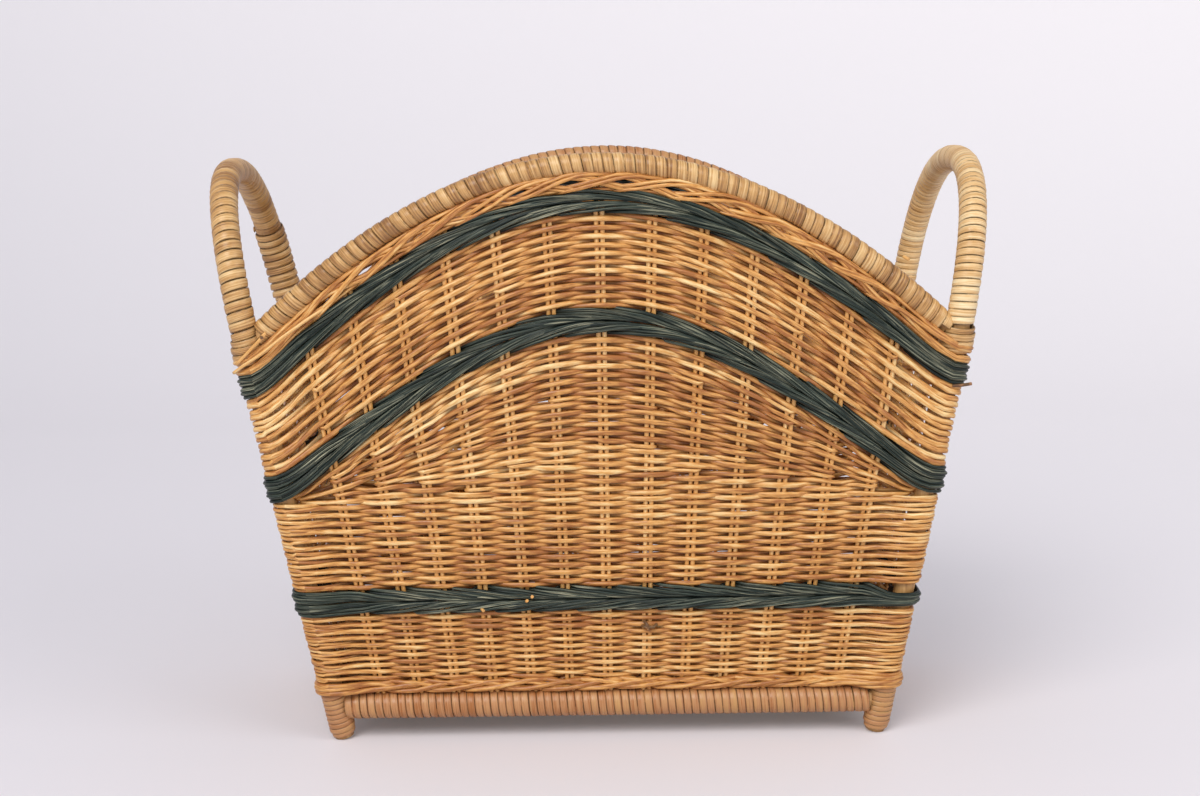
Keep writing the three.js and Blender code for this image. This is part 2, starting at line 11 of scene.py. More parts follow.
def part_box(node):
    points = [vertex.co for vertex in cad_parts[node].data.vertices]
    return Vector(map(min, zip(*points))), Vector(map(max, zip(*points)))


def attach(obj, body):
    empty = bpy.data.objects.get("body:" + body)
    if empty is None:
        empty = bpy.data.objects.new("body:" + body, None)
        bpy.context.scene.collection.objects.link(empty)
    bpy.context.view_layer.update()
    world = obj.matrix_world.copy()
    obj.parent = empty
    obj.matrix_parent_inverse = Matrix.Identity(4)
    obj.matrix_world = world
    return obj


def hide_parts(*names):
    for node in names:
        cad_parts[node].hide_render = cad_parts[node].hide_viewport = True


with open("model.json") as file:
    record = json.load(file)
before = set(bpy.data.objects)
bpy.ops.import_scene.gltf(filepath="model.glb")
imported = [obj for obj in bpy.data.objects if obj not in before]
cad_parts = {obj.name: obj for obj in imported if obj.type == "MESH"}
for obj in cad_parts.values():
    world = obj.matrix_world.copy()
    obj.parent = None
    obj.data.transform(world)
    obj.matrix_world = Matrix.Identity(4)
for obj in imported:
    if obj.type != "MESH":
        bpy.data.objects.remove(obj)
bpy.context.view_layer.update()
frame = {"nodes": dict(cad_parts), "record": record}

bl_info = {
    "name": "Wicker Magazine Basket",
    "version": (1, 0, 0),
    "blender": (4, 5, 0),
    "location": "3D View > Sidebar > Basket",
    "description": "Builds a woven magazine basket round its end hoops, rails and rims",
    "category": "Object",
}

ROOT = "root"
UP = (0, 0, 1)
FEET = {mount["name"]: Vector(mount["pos_m"]) for mount in frame["record"]["mounts"]}
MIDDLE_X = (FEET["foot_back_right"].x + FEET["foot_back_left"].x) / 2
FOOT_HALF_SPAN = FEET["foot_back_right"].x - MIDDLE_X
FOOT_HALF_DEPTH = FEET["foot_back_right"].y
LONG_SIDES = ("front", "back")
END_SIDES = ("right", "left")
CORNERS = {"front_left": (-1, -1), "front_right": (1, -1), "back_right": (1, 1), "back_left": (-1, 1)}
SETTLE_PASSES = 8
# Steps of a strand: between two stakes, round a post and in one turn of a winding
BAY_STEPS = 6
POST_STEPS = 5
TURN_STEPS = 16
POST_TURN_STEPS = 18
# Thickness of the cane, how far strands drift and vary, and how far a row swings past the stake it turns round
CANE = 0.0013
THIN_CANE = 0.0012
ROW_DRIFT = 0.00014
STAKE_DRIFT = (0.00012, 0.00018)
GIRTHS = (0.93, 1.07)
GIRTH_DRIFT = 0.03
WINDING_DRIFT = (0.02, 0.00006)
TURN_BACK = 0.0036
# Rows on a post: share of a reed's depth that they stand off it, how far out they are painted (painted highlight
# outside, painted shade inside) and how thick they are there
POST_REST = (0.48, 0.86)
POST_PAINTED_LIGHT = 0.8
POST_GIRTH = 0.88
# Wales: drift, depth behind a stake, swing outside a post, how the rods lie side by side and when they go back
WALE_PHASE_DRIFT = 0.008
WALE_DRIFT = 0.00015
WALE_GIRTHS = (0.92, 1.08)
WALE_INSIDE = -0.0026
WALE_POST_SWING = 0.0019
WALE_ROD_GAP = 0.0002
WALE_SOFTNESS = 0.0005
WALE_STACK = 0.55
WALE_BACK = (0.84, 0.985)


def mix(low, high, share):
    return low + (high - low) * share


def smooth(start, end, value):
    share = np.clip((np.asarray(value, float) - start) / (end - start), 0, 1)
    return share * share * (3 - 2 * share)


def ease(start, end, slope, slope_left, share):
    """Curve that leaves its start with a slope and reaches its end with a share of that slope left."""
    cube, square = share**3, share**2
    leave = slope * (cube - 2 * square + share)
    arrive = slope * slope_left * (cube - square)
    return start * (2 * cube - 3 * square + 1) + end * (3 * square - 2 * cube) + leave + arrive


def length_property(name, description, default):
    return FloatProperty(name=name, description=description, default=default, unit="LENGTH", precision=5)


def number_property(name, description, default):
    return FloatProperty(name=name, description=description, default=default)


def count_property(name, description, default):
    return IntProperty(name=name, description=description, default=default)


def colour_property(name, description, default):
    return FloatVectorProperty(
        name=name, description=description, default=default, subtype="COLOR", size=3, min=0, max=1
    )


class BasketFrameSizes(bpy.types.PropertyGroup):
    """Poles, rails, rims and handles."""

    collar_half_span: length_property(
        "Collar half span", "Half the distance of the posts at the collar, along X", 0.210
    )
    collar_half_depth: length_property(
        "Collar half depth", "Half the distance of the posts at the collar, along Y", 0.100
    )
    collar_height: length_property("Collar height", "Where the handles start", 0.259)
    handle_height: length_property("Handle height", "Top of the centre line of a handle", 0.3544)
    handle_fullness: number_property("Handle fullness", "2 is an ellipse, more is squarer", 2.4)
    rim_apex: length_property("Rim apex", "Top of the centre line of a long rim", 0.357)
    rim_end: length_property("Rim end", "Height of the rims at the posts", 0.252)
    rail_height: length_property("Rail height", "Centre of the base rails", 0.022)
    pole_radius: length_property("Pole radius", "Radius of the hoop poles", 0.0062)
    handle_winding: length_property("Handle winding radius", "Outside radius of a wound handle", 0.0083)
    rim_winding: length_property("Rim winding radius", "Outside radius of a wound rim", 0.0070)
    rail_winding: length_property("Rail winding radius", "Outside radius of a wound base rail", 0.0087)
    foot_winding: length_property("Foot winding radius", "Outside radius of a wound foot", 0.0083)
    lashing_radius: length_property("Lashing radius", "Outside radius of the lashing under a handle", 0.0100)
    lashing_height: length_property("Lashing height", "Height of the lashing under a handle", 0.0170)
    back_left_splay: length_property(
        "Back left splay", "How much further the back left corner leans out", 0.012
    )
    back_rim_lift: length_property(
        "Back rim lift", "How much higher the back rim arches than the front one", 0.0025
    )


class BasketWeaveSizes(bpy.types.PropertyGroup):
    """Stakes, weavers and the places of the bands."""

    reed_height: length_property("Reed height", "Height of a weaver's section", 0.00275)
    reed_depth: length_property("Reed depth", "Depth of a weaver's section", 0.0022)
    stake_radius: length_property("Stake radius", "Radius of one of the two reeds of a stake", 0.0014)
    stake_spacing: length_property("Stake pair spacing", "Distance of the two reeds of a stake", 0.0035)
    stake_swell: length_property(
        "Stake swell", "How far the stakes stand out of the middle of the wall", 0.0004
    )
    wave: length_property("Weaving wave", "How far a weaver swings in and out round the stakes", 0.00215)
    row_pitch: length_property("Row pitch", "Height of a row", 0.00262)
    lower_pitch: length_property("Lower row pitch", "Height of a row under the lower band", 0.00236)
    long_stakes: count_property("Long stakes", "Stakes on each side of the middle of a long wall", 6)
    end_stakes: count_property("End stakes", "Stakes on each side of the middle of an end wall", 2)
    long_reach: number_property("Long reach", "Bays from the middle of a long wall to its post", 7.25)
    end_reach: number_property("End reach", "Bays from the middle of an end wall to its post", 3.1)
    lower_band: length_property("Lower band", "Height of the lower green band", 0.092)
    middle_band_end: length_property("Middle band end", "Height of the middle band at the posts", 0.1648)
    middle_band_apex: length_property("Middle band apex", "Height of the middle band at its top", 0.2659)
    upper_band_end: length_property("Upper band end", "Height of the upper band at the posts", 0.230)
    upper_band_apex: length_property("Upper band apex", "Height of the upper band at its top", 0.336)
    corner_pairs: count_property("Corner pairs", "Pairs of arched rows that go on round the posts", 7)
    rim_seat: length_property("Rim seat", "Height of the underside of a rim at the posts", 0.2448)
    fan_start: length_property("Fan start", "Where the fanned rows start over the level ones", 0.1553)
    band_half: length_property("Band half height", "Half the height of a green band", 0.0090)
    upper_band_half: length_property(
        "Upper band half height", "Half the height of the upper green band", 0.0079
    )
    rod_radius: length_property("Band rod radius", "Radius of a rod in a green band", 0.00108)
    rod_pitch: length_property("Band rod pitch", "Distance of two rods that run together in a band", 0.00212)
    middle_slope: number_property(
        "Middle corner slope", "Share of its slope that the middle band keeps at the posts", 0.45
    )
    upper_slope: number_property(
        "Upper corner slope", "Share of its slope that the upper band keeps at the posts", 0.6
    )
    corner_rise: length_property(
        "Corner rise", "How much higher a band that kept its slope reaches the post", 0.0045
    )
    crest_swell: number_property("Crest swell", "How much taller a weaver is where it stands out", 0.2)
    corner_pinch: length_property("Corner pinch", "How far two rows draw together beside the posts", 0.0007)
    corner_play: length_property("Corner play", "How unevenly the rows pass the posts", 0.0005)
    tuck: length_property("Tuck", "How far the rows reach under the edge of a band", 0.0012)
    left_drop: length_property("Left drop", "How much lower the upper band passes the left posts", 0.0018)
    base_wale_height: length_property("Base wale height", "Centre of the wale above the base rails", 0.0352)
    base_wale_half: length_property("Base wale half height", "Half the height of that wale", 0.0040)


class BasketColours(bpy.types.PropertyGroup):
    """Colours of the reeds, canes and poles."""

    reed_dark: colour_property("Reed, dark", "Red brown weavers", (0.38, 0.135, 0.032))
    reed_mid: colour_property("Reed, mid", "Golden weavers", (0.72, 0.355, 0.095))
    reed_light: colour_property("Reed, light", "Straw coloured weavers", (0.98, 0.76, 0.38))
    cane_dark: colour_property("Cane, dark", "Shaded cane winding", (0.27, 0.12, 0.038))
    cane_mid: colour_property("Cane, mid", "Honey cane winding", (0.59, 0.322, 0.112))
    cane_light: colour_property("Cane, light", "Pale cane winding", (0.86, 0.6, 0.29))
    stake_mid: colour_property("Stake", "Golden stakes", (0.8, 0.45, 0.155))
    straw_mid: colour_property("Straw, mid", "Winding of the right handle", (0.82, 0.53, 0.24))
    straw_light: colour_property("Straw, light", "Pale stakes and pale winding", (1.0, 0.84, 0.52))
    rail_mid: colour_property("Rail cane", "Red brown cane winding of the base", (0.53, 0.255, 0.108))
    green_dark: colour_property("Green, dark", "Deep stain on the bands", (0.006, 0.011, 0.009))
    green_mid: colour_property("Green, mid", "Grey green stain on the bands", (0.024, 0.037, 0.029))
    green_worn: colour_property("Green, worn", "Where the stain has rubbed off", (0.36, 0.34, 0.225))


# Form of the basket


class Form:
    """Walls, arches and paths worked out from the sizes in the sidebar."""

    def __init__(self, scene):
        self.sizes = scene.basket_frame_sizes
        self.weave = scene.basket_weave_sizes
        s, w = self.sizes, self.weave
        self.span_lean = (s.collar_half_span - FOOT_HALF_SPAN) / s.collar_height
        self.depth_lean = (s.collar_half_depth - FOOT_HALF_DEPTH) / s.collar_height
        self.rim = self.arch(s.rim_apex, s.rim_end, 0)
        self.middle = self.arch(w.middle_band_apex, w.middle_band_end, 0.28)
        self.upper = self.arch(w.upper_band_apex, w.upper_band_end, 0.16)
        self.middle_course = self.course(w.middle_band_end, self.middle, w.middle_slope)
        self.upper_course = self.course(w.upper_band_end, self.upper, w.upper_slope, w.left_drop)

    def half_span(self, z):
        return FOOT_HALF_SPAN + self.span_lean * z

    def half_depth(self, z):
        return FOOT_HALF_DEPTH + self.depth_lean * z

    def arch(self, apex, end, flat_share):
        reach = self.half_span(end)

        def height(along):
            share = np.clip(np.abs(along) / reach, 0, 1.1)
            fall = (1 - flat_share) * share**2 + flat_share * (1 - np.cos(np.pi * share)) / 2
            return mix(apex, end, fall)

        return height

    def rim_underside(self, along):
        reach = self.half_span(self.sizes.rim_end)
        slope = 2 * (self.sizes.rim_apex - self.sizes.rim_end) * along / reach**2
        return self.rim(along) - self.sizes.rim_winding * np.hypot(1, slope)

    def course(self, level, curve=None, slope_left=0.0, left_drop=0.0):
        """Height of a row right round: a curve over the long walls, level on the end walls. The curve keeps
        a share of its slope at the posts, and comes down to the level on its way round them."""

        def height(wall, stake):
            stake = np.asarray(stake, float)
            last, reach = self.stakes(wall), self.reach(wall)
            share = np.clip((np.abs(stake) - last) / (reach - last), 0, 1)
            if curve is None:
                return np.full(stake.shape, level)
            base = level - left_drop * np.asarray((stake < 0, False, stake > 0, True)[wall], float)
            post = base + self.weave.corner_rise * slope_left
            if wall % 2:
                return base
            inner = self.settle(wall, np.clip(stake, -last, last), curve)
            side = np.sign(stake)
            fall = (self.settle(wall, side * last, curve) - self.settle(wall, side * (last - 0.25), curve)) / 0.25
            return ease(inner, post, fall * (reach - last), slope_left, share)

        return height

    def zone(self, course, rise):
        return lambda wall, stake: course(wall, stake) + rise

    def reach(self, wall):
        return self.weave.long_reach if wall % 2 == 0 else self.weave.end_reach

    def stakes(self, wall):
        return self.weave.long_stakes if wall % 2 == 0 else self.weave.end_stakes

    def along(self, wall, stake, z):
        half = self.half_span(z) if wall % 2 == 0 else self.half_depth(z)
        return half * stake / self.reach(wall)

    def settle(self, wall, stake, height):
        """Height of a row on a stake, where the row is a height over a place along the wall."""
        z = np.full(np.shape(stake), self.sizes.rim_end, float)
        for _ in range(SETTLE_PASSES):
            z = height(self.along(wall, stake, z))
        return z

    def on_wall(self, wall, stake, z, stand_off):
        """Points on a wall. Walls are numbered front, right, back, left; stand_off is out of the basket."""
        along = self.along(wall, stake, z)
        out = (self.half_depth(z) if wall % 2 == 0 else self.half_span(z)) + stand_off
        x, y = ((along, -out), (out, along), (-along, out), (-out, -along))[wall]
        return np.array([x, y, z]).T

    def round_post(self, wall, turn, z, stand_off):
        """Points round the post between a wall and the next one, where turn goes from 0 to a quarter turn."""
        leave = (-90, 0, 90, 180)[wall]
        angle = np.radians(leave) + turn
        sign_x, sign_y = ((1, -1), (1, 1), (-1, 1), (-1, -1))[wall]
        x = sign_x * self.half_span(z) + stand_off * np.cos(angle)
        y = sign_y * self.half_depth(z) + stand_off * np.sin(angle)
        return np.array([x, y, z]).T

    def bent_by_hand(self, points):
        """Leans the back left corner further out, arches the back rim higher and sets the middle over the feet."""
        s = self.sizes
        x, y, z = points.T
        span_share = x / self.half_span(z)
        back_share = (1 + y / self.half_depth(z)) / 2
        splay = s.back_left_splay * z / s.collar_height * np.maximum(-span_share, 0) ** 2
        lift = s.back_rim_lift * z / s.rim_apex * (1 - span_share**2)
        return np.array([x - splay * back_share + MIDDLE_X, y, z + lift * back_share]).T

    def handle(self, side):
        """Centre line of a handle as a function of a share from 0 to 1."""
        s = self.sizes

        def point(share):
            turn = np.pi * np.asarray(share, float)
            reach = np.abs(np.cos(turn)) ** (2 / s.handle_fullness) * np.sign(np.cos(turn))
            rise = np.abs(np.sin(turn)) ** (2 / s.handle_fullness)
            z = s.collar_height + (s.handle_height - s.collar_height) * rise
            return np.array([side * self.half_span(z), -s.collar_half_depth * reach, z]).T

        return point


# Strands: every reed, rod and strip of cane is one swept section


class Strands:
    """Collects swept strands and makes one mesh of them, with lengthwise UVs and a tone for each strand."""

    def __init__(self, seed):
        self.random = np.random.default_rng(seed)
        self.points, self.quads, self.uvs, self.caps = [], [], [], []
        self.tones, self.painted_lights = [], []
        self.count = 0

    def sweep(self, path, across, half_width, half_depth, section, closed=False, tone=None, out=0.0):
        """Sweeps a section along a path. across is the direction of its width at each point. out goes from
        -1, deep in the weave, to 1, where the side that its depth points to stands out. It sets a share for each
        vertex: painted shade on the side that lies deep in the weave and a painted highlight on the side that stands
        out."""
        path = np.asarray(path, float)
        rings, sides = len(path), len(section)
        ahead = np.roll(path, -1, 0) - np.roll(path, 1, 0)
        if not closed:
            ahead[0], ahead[-1] = path[1] - path[0], path[-1] - path[-2]
        ahead /= np.linalg.norm(ahead, axis=1)[:, None] + 1e-12
        across = np.broadcast_to(np.asarray(across, float), path.shape)
        wide = across - (across * ahead).sum(1)[:, None] * ahead
        wide /= np.linalg.norm(wide, axis=1)[:, None] + 1e-12
        deep = np.cross(ahead, wide)
        half_width = np.broadcast_to(half_width, rings)[:, None, None]
        half_depth = np.broadcast_to(half_depth, rings)[:, None, None]
        ring = path[:, None] + wide[:, None] * half_width * section[None, :, :1]
        ring += deep[:, None] * half_depth * section[None, :, 1:]
        index = self.count + np.arange(rings * sides).reshape(rings, sides)
        runs = rings if closed else rings - 1
        here, ahead_ring = index[:runs], index[(np.arange(runs) + 1) % rings]
        quads = np.stack([here, np.roll(here, -1, 1), np.roll(ahead_ring, -1, 1), ahead_ring], -1).reshape(-1, 4)
        steps = np.linalg.norm(np.roll(path, -1, 0) - path, axis=1)[:runs]
        length = np.concatenate([[0], np.cumsum(steps)]) + self.random.uniform(0, 3)
        u0, u1 = np.repeat(length[:-1], sides), np.repeat(length[1:], sides)
        v0, v1 = np.tile(np.arange(sides) / sides, runs), np.tile((np.arange(sides) + 1) / sides, runs)
        corners = ((u0, v0), (u0, v1), (u1, v1), (u1, v0))
        self.uvs.append(np.stack([np.stack(corner, -1) for corner in corners], 1).reshape(-1, 2))
        self.quads.append(quads)
        self.points.append(ring.reshape(-1, 3))
        self.tones.append(np.full(rings * sides, self.random.uniform() if tone is None else tone))
        # Share of painted light for each vertex: 0.5 plus half of out times the depth side of the section; the
        # materials paint shade below it and a highlight above it
        self.painted_lights.append((0.5 + 0.5 * np.broadcast_to(out, rings)[:, None] * section[None, :, 1]).ravel())
        if not closed:
            self.caps += [index[0][::-1], index[-1]]
        self.count += rings * sides

    def build(self, name, material, nodes):
        """Makes the piece, places it on its body and lets it stand for its CAD nodes."""
        quads = np.concatenate(self.quads)
        loops = np.concatenate([quads.ravel(), *self.caps])
        totals = np.array([4] * len(quads) + [len(cap) for cap in self.caps])
        mesh = bpy.data.meshes.new(name)
        mesh.vertices.add(self.count)
        points = Form(bpy.context.scene).bent_by_hand(np.concatenate(self.points))
        mesh.vertices.foreach_set("co", points.ravel().astype(np.float32))
        mesh.loops.add(len(loops))
        mesh.loops.foreach_set("vertex_index", loops.astype(np.int32))
        mesh.polygons.add(len(totals))
        starts = np.concatenate([[0], np.cumsum(totals)[:-1]])
        mesh.polygons.foreach_set("loop_start", starts.astype(np.int32))
        mesh.polygons.foreach_set("loop_total", totals.astype(np.int32))
        mesh.polygons.foreach_set("use_smooth", np.repeat([True, False], [len(quads), len(self.caps)]))
        uv = mesh.uv_layers.new(name="lengthwise")
        uvs = np.concatenate(self.uvs + [np.zeros((len(loops) - quads.size, 2))])
        uv.data.foreach_set("uv", uvs.ravel().astype(np.float32))
        for kind, values in (("tone", self.tones), ("painted_light", self.painted_lights)):
            attribute = mesh.attributes.new(kind, "FLOAT", "POINT")
            attribute.data.foreach_set("value", np.concatenate(values).astype(np.float32))
        mesh.update()
        mesh.validate()
        mesh.materials.append(material)
        piece = bpy.data.objects.new(name, mesh)
        bpy.context.scene.collection.objects.link(piece)
        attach(piece, ROOT)
        if nodes:
            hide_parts(*nodes)


def rounded(sides, flat=0.0):
    """Round section, or one that is flattened towards a rounded box."""
    turn = 2 * np.pi * np.arange(sides) / sides
    power = 1 / (1 + flat)
    x, y = np.cos(turn), np.sin(turn)
    return np.stack([np.sign(x) * np.abs(x) ** power, np.sign(y) * np.abs(y) ** power], -1)


REED = rounded(8, 0.15)
ROD = rounded(9)
STRIP = np.array([(1, -0.4), (0.97, 0.35), (0.62, 0.86), (0, 1), (-0.62, 0.86), (-0.97, 0.35), (-1, -0.4)])


# Weaving


class Ring:
    """Stations of a strand that runs right round the basket, outside its posts. Stakes are counted right
    round; from the last stake of a wall to the first of the next is one count, shared out beside the posts
    and round them."""

    beside_share = 0.45
    post_share = 0.1

    def __init__(self, form):
        self.form = form
        walls, stakes, turns, counts = [], [], [], []
        passed = 0
        for wall in range(4):
            last, reach = form.stakes(wall), form.reach(wall)
            inner = np.arange(-last * BAY_STEPS, last * BAY_STEPS + 1) / BAY_STEPS
            outer = np.linspace(last, reach, BAY_STEPS + 1)[1:]
            on_wall = np.concatenate([-outer[::-1], inner, outer])
            past = (np.abs(on_wall) - last) / (reach - last)
            beyond = np.sign(on_wall) * (last + self.beside_share * past)
            count = np.where(np.abs(on_wall) > last, beyond, on_wall)
            turn = np.linspace(0, np.pi / 2, POST_STEPS + 2)[1:-1]
            walls += [wall] * (len(on_wall) + POST_STEPS)
            stakes += [*on_wall, *[reach] * POST_STEPS]
            turns += [*[-1] * len(on_wall), *turn]
            round_post = self.beside_share + self.post_share * turn / (np.pi / 2)
            counts += [*(passed + last + count), *(passed + 2 * last + round_post)]
            passed += 2 * last + 1
        self.walls, self.stakes = np.array(walls), np.array(stakes)
        self.turns, self.counts = np.array(turns), np.array(counts)
        past = [
            (abs(stake) - form.stakes(wall)) / (form.reach(wall) - form.stakes(wall))
            for wall, stake in zip(walls, stakes)
        ]
        self.near_post = smooth(0.08, 0.85, past)
        self.beside_post = np.sin(np.pi * np.clip(past, 0, 1))
        front_right = (self.walls == 0) & (self.stakes > 0) | (self.walls == 1) & (self.stakes < 0)
        self.front_right = self.near_post * front_right

    def path(self, heights, rise, stand_off, post_stand_off):
        """Points of a strand. heights gives a height for a wall and its stations, rise what is added to it;
        near a post the strand swings outside it."""
        form = self.form
        points = np.zeros((len(self.walls), 3))
        for wall in range(4):
            chosen = self.walls == wall
            stake = self.stakes[chosen]
            turn = self.turns[chosen]
            beyond = heights((wall + 1) % 4, np.array([-form.reach((wall + 1) % 4)]))
            z = mix(heights(wall, stake), beyond, np.maximum(turn, 0) / (np.pi / 2)) + rise[chosen]
            off = mix(stand_off[chosen], post_stand_off[chosen], self.near_post[chosen])
            flat = form.on_wall(wall, stake, z, off)
            bent = form.round_post(wall, np.maximum(turn, 0), z, off)
            points[chosen] = np.where(turn[:, None] >= 0, bent, flat)
        return points


def wander(random, positions, size):
    """Slow uneven drift along a strand."""
    knots = np.arange(np.floor(positions.min()) - 1, np.ceil(positions.max()) + 2)
    return size * np.interp(positions, knots, random.normal(0, 1, len(knots)))


def over_under(stake, row, left, right, wave):
    """Out over one stake and in behind the next; past its end stakes the strand keeps its side."""
    swing = np.cos(np.pi * (np.clip(stake, left, right) + row))
    return wave * np.sign(swing) * np.abs(swing) ** 0.8


class Panel:
    """Rows between two courses of a long wall. Where it narrows, pairs of rows turn back round a stake."""

    tip_share = 0.42
    golden = 0.618
    thinnest, thickest = 0.78, 1.5

    def __init__(self, form, bottom, top, rows, last_pairs, corner_reach=None):
        self.form, self.bottom, self.top, self.pairs = form, bottom, top, rows // 2
        self.last_pairs, self.corner_reach = last_pairs, corner_reach
        self.ends = {side: self.choose_ends(side) for side in (-1, 1)}

    def room(self, stake):
        """How many pairs fit at a station, square to their slope."""
        step = 0.1
        low, high = self.bottom(0, stake), self.top(0, stake)
        middle = lambda station: (self.bottom(0, station) + self.top(0, station)) / 2
        bay = self.form.along(0, 1, middle(stake))
        slope = (middle(stake + step) - middle(stake - step)) / (2 * step * bay)
        at_middle = (self.top(0, 0.0) - self.bottom(0, 0.0)) / self.pairs
        return float((high - low) / np.hypot(1, slope) / at_middle)

    def choose_ends(self, side):
        """End stake of each pair on one side, spread evenly over the height of the panel."""
        last = self.form.weave.long_stakes
        pairs = np.arange(self.pairs)
        order = (pairs * self.golden + 0.3 * side) % 1
        order[np.round(np.linspace(0, self.pairs - 1, self.last_pairs)).astype(int)] += 1
        waiting = list(np.argsort(order, kind="stable"))
        ends = np.full(self.pairs, np.inf)
        for stake in range(1, last + 1):
            room = self.last_pairs if stake == last else max(self.last_pairs, round(self.room(side * (stake + 0.5))))
            while len(waiting) > room:
                ends[waiting.pop(0)] = stake
        if self.corner_reach is not None:
            for place, pair in enumerate(sorted(waiting)):
                ends[pair] = last + self.corner_reach * mix(0.8, 1, place / (len(waiting) - 1))
        return ends

    def shares(self, stake):
        """Share of a full pair's height that each pair has at some stations."""
        stake = np.atleast_1d(stake)
        ends = np.where(stake[None, :] < 0, self.ends[-1][:, None], self.ends[1][:, None])
        beyond = np.abs(stake)[None, :] - ends
        beyond = np.where(np.isinf(ends), -9, beyond)
        return (1 - (1 - self.tip_share) * smooth(-2.2, 0.2, beyond)) * (1 - smooth(0.15, 0.75, beyond))

    def fill(self, row):
        """How much more room than a full row a row has, square to its slope, as a function of wall and stations."""

        def at(wall, stake):
            station = stake if wall % 2 == 0 else np.full(stake.shape, self.form.reach(0))
            shares = self.shares(station)
            room = (self.top(wall, stake) - self.bottom(wall, stake)) * shares[row // 2] / shares.sum(0) / 2
            rise = self.height(row)(wall, stake + 0.05) - self.height(row)(wall, stake - 0.05)
            slope = rise / (self.form.along(wall, 0.1, self.bottom(wall, stake)))
            return np.clip(room / np.hypot(1, slope) / self.form.weave.row_pitch, self.thinnest, self.thickest)

        return at

    def height(self, row, offset=0.0):
        """Height of a row, as a function of wall and stations."""

        def at(wall, stake):
            stake = np.asarray(stake, float)
            station = stake if wall % 2 == 0 else np.full(stake.shape, self.form.reach(0))
            shares = self.shares(station)
            pair = row // 2
            below = shares[:pair].sum(0) + shares[pair] * (0.25 + 0.5 * (row % 2) + offset)
            return mix(self.bottom(wall, stake), self.top(wall, stake), below / shares.sum(0))

        return at


def weave_ring_row(strands, ring, form, row, height, fill):
    """A row that runs right round, over and under, and outside the posts. fill makes it thicker where rows
    have more room."""
    w = form.weave
    random = strands.random
    drift = wander(random, ring.counts, ROW_DRIFT) + ring.near_post * wander(random, ring.counts, w.corner_play)
    drift += (1 - 2 * (row % 2)) * w.corner_pinch * ring.beside_post
    off = np.zeros(len(ring.walls))
    for wall in range(4):
        chosen = ring.walls == wall
        last = form.stakes(wall)
        off[chosen] = over_under(ring.stakes[chosen], row + wall // 2, -last, last, w.wave)
    off += wander(random, ring.counts, ROW_DRIFT)
    post = np.full(len(off), form.sizes.pole_radius + w.reed_depth * random.uniform(*POST_REST))
    path = ring.path(height, drift, off, post)
    girth = random.uniform(*GIRTHS) + wander(random, ring.counts, GIRTH_DRIFT)
    full = np.ones(len(off))
    for wall in range(4):
        chosen = ring.walls == wall
        full[chosen] = fill(wall, ring.stakes[chosen])
    # Near the posts out is set to a fixed share: painted highlight on the outer side of the rows there and painted
    # shade on the inner side. out also sets how much the row swells at a crest.
    out = mix(np.clip(off / w.wave, -1, 1), POST_PAINTED_LIGHT, ring.near_post)
    full = full * mix(1 + w.crest_swell * np.abs(out), POST_GIRTH, ring.near_post)
    strands.sweep(path, UP, w.reed_height / 2 * girth * full, w.reed_depth / 2 * girth, REED, closed=True, out=out)


def weave_level_rows(strands, ring, form, bottom, top, pitch):
    rows = 2 * round((top - bottom) / pitch / 2)
    for row in range(rows):
        level = mix(bottom, top, (row + 0.5 + strands.random.uniform(-0.08, 0.08)) / rows)
        weave_ring_row(strands, ring, form, row, form.course(level), lambda wall, stake: pitch / form.weave.row_pitch)


def weave_short_pair(strands, form, panel, wall, pair):
    """Two rows made by one weaver that turns back round a stake at both ends."""
    w = form.weave
    random = strands.random
    turn = np.linspace(0, np.pi, 7)[1:-1]
    left, right = -panel.ends[-1][pair], panel.ends[1][pair]
    count = max(3, int(round((right - left) * BAY_STEPS)) + 1)
    stations = np.linspace(left, right, count)
    held_left, held_right = np.ceil(left - 1e-6), np.floor(right + 1e-6)
    legs = []
    for row in (2 * pair, 2 * pair + 1):
        z = panel.height(row)(wall, stations) + wander(random, stations, ROW_DRIFT)
        off = over_under(stations, row, held_left, held_right, w.wave) + wander(random, stations, ROW_DRIFT)
        legs.append((z, off, panel.fill(row)(wall, stations)))
    (low_z, low_off, low_fill), (high_z, high_off, high_fill) = legs
    swell = TURN_BACK / form.along(wall, 1, low_z.mean())

    def bend(stake, sign, z_from, z_to, off_from, off_to):
        share = (1 - np.cos(turn)) / 2
        out = stake + sign * swell * np.sin(turn)
        return form.on_wall(wall, out, mix(z_from, z_to, share), mix(off_from, off_to, share))

    path = np.concatenate([
        form.on_wall(wall, stations, low_z, low_off),
        bend(right, 1, low_z[-1], high_z[-1], low_off[-1], high_off[-1]),
        form.on_wall(wall, stations, high_z, high_off)[::-1],
        bend(left, -1, high_z[0], low_z[0], high_off[0], low_off[0]),
    ])
    # out is the stand-out share of each leg, faded through the turns; it sets the painted shade and painted highlight
    # of the strand and its swell
    fade = np.linspace(1, -1, len(turn))
    out = np.concatenate([low_off / w.wave, fade * 0.5, -high_off[::-1] / w.wave, -fade * 0.5])
    out = np.clip(out, -1, 1)
    bends = np.ones(len(turn))
    full = np.concatenate([low_fill, bends * low_fill[-1], high_fill[::-1], bends * low_fill[0]])
    full = full * (1 + w.crest_swell * np.abs(out))
    girth = random.uniform(*GIRTHS)
    strands.sweep(path, UP, w.reed_height / 2 * girth * full, w.reed_depth / 2 * girth, REED, closed=True, out=out)


def wale_depth(phase):
    """Share of the way out: behind a stake at phase 0, out over the next two, under the strokes after it."""
    knots = (0, 0.03, 0.1, 0.2, 0.33, 0.5, 0.667, 0.8, 0.9, 0.97, 1)
    shares = (0, 0.09, 0.7, 0.94, 1, 0.91, 0.77, 0.54, 0.2, 0.02, 0)
    return np.interp(phase, knots, shares)


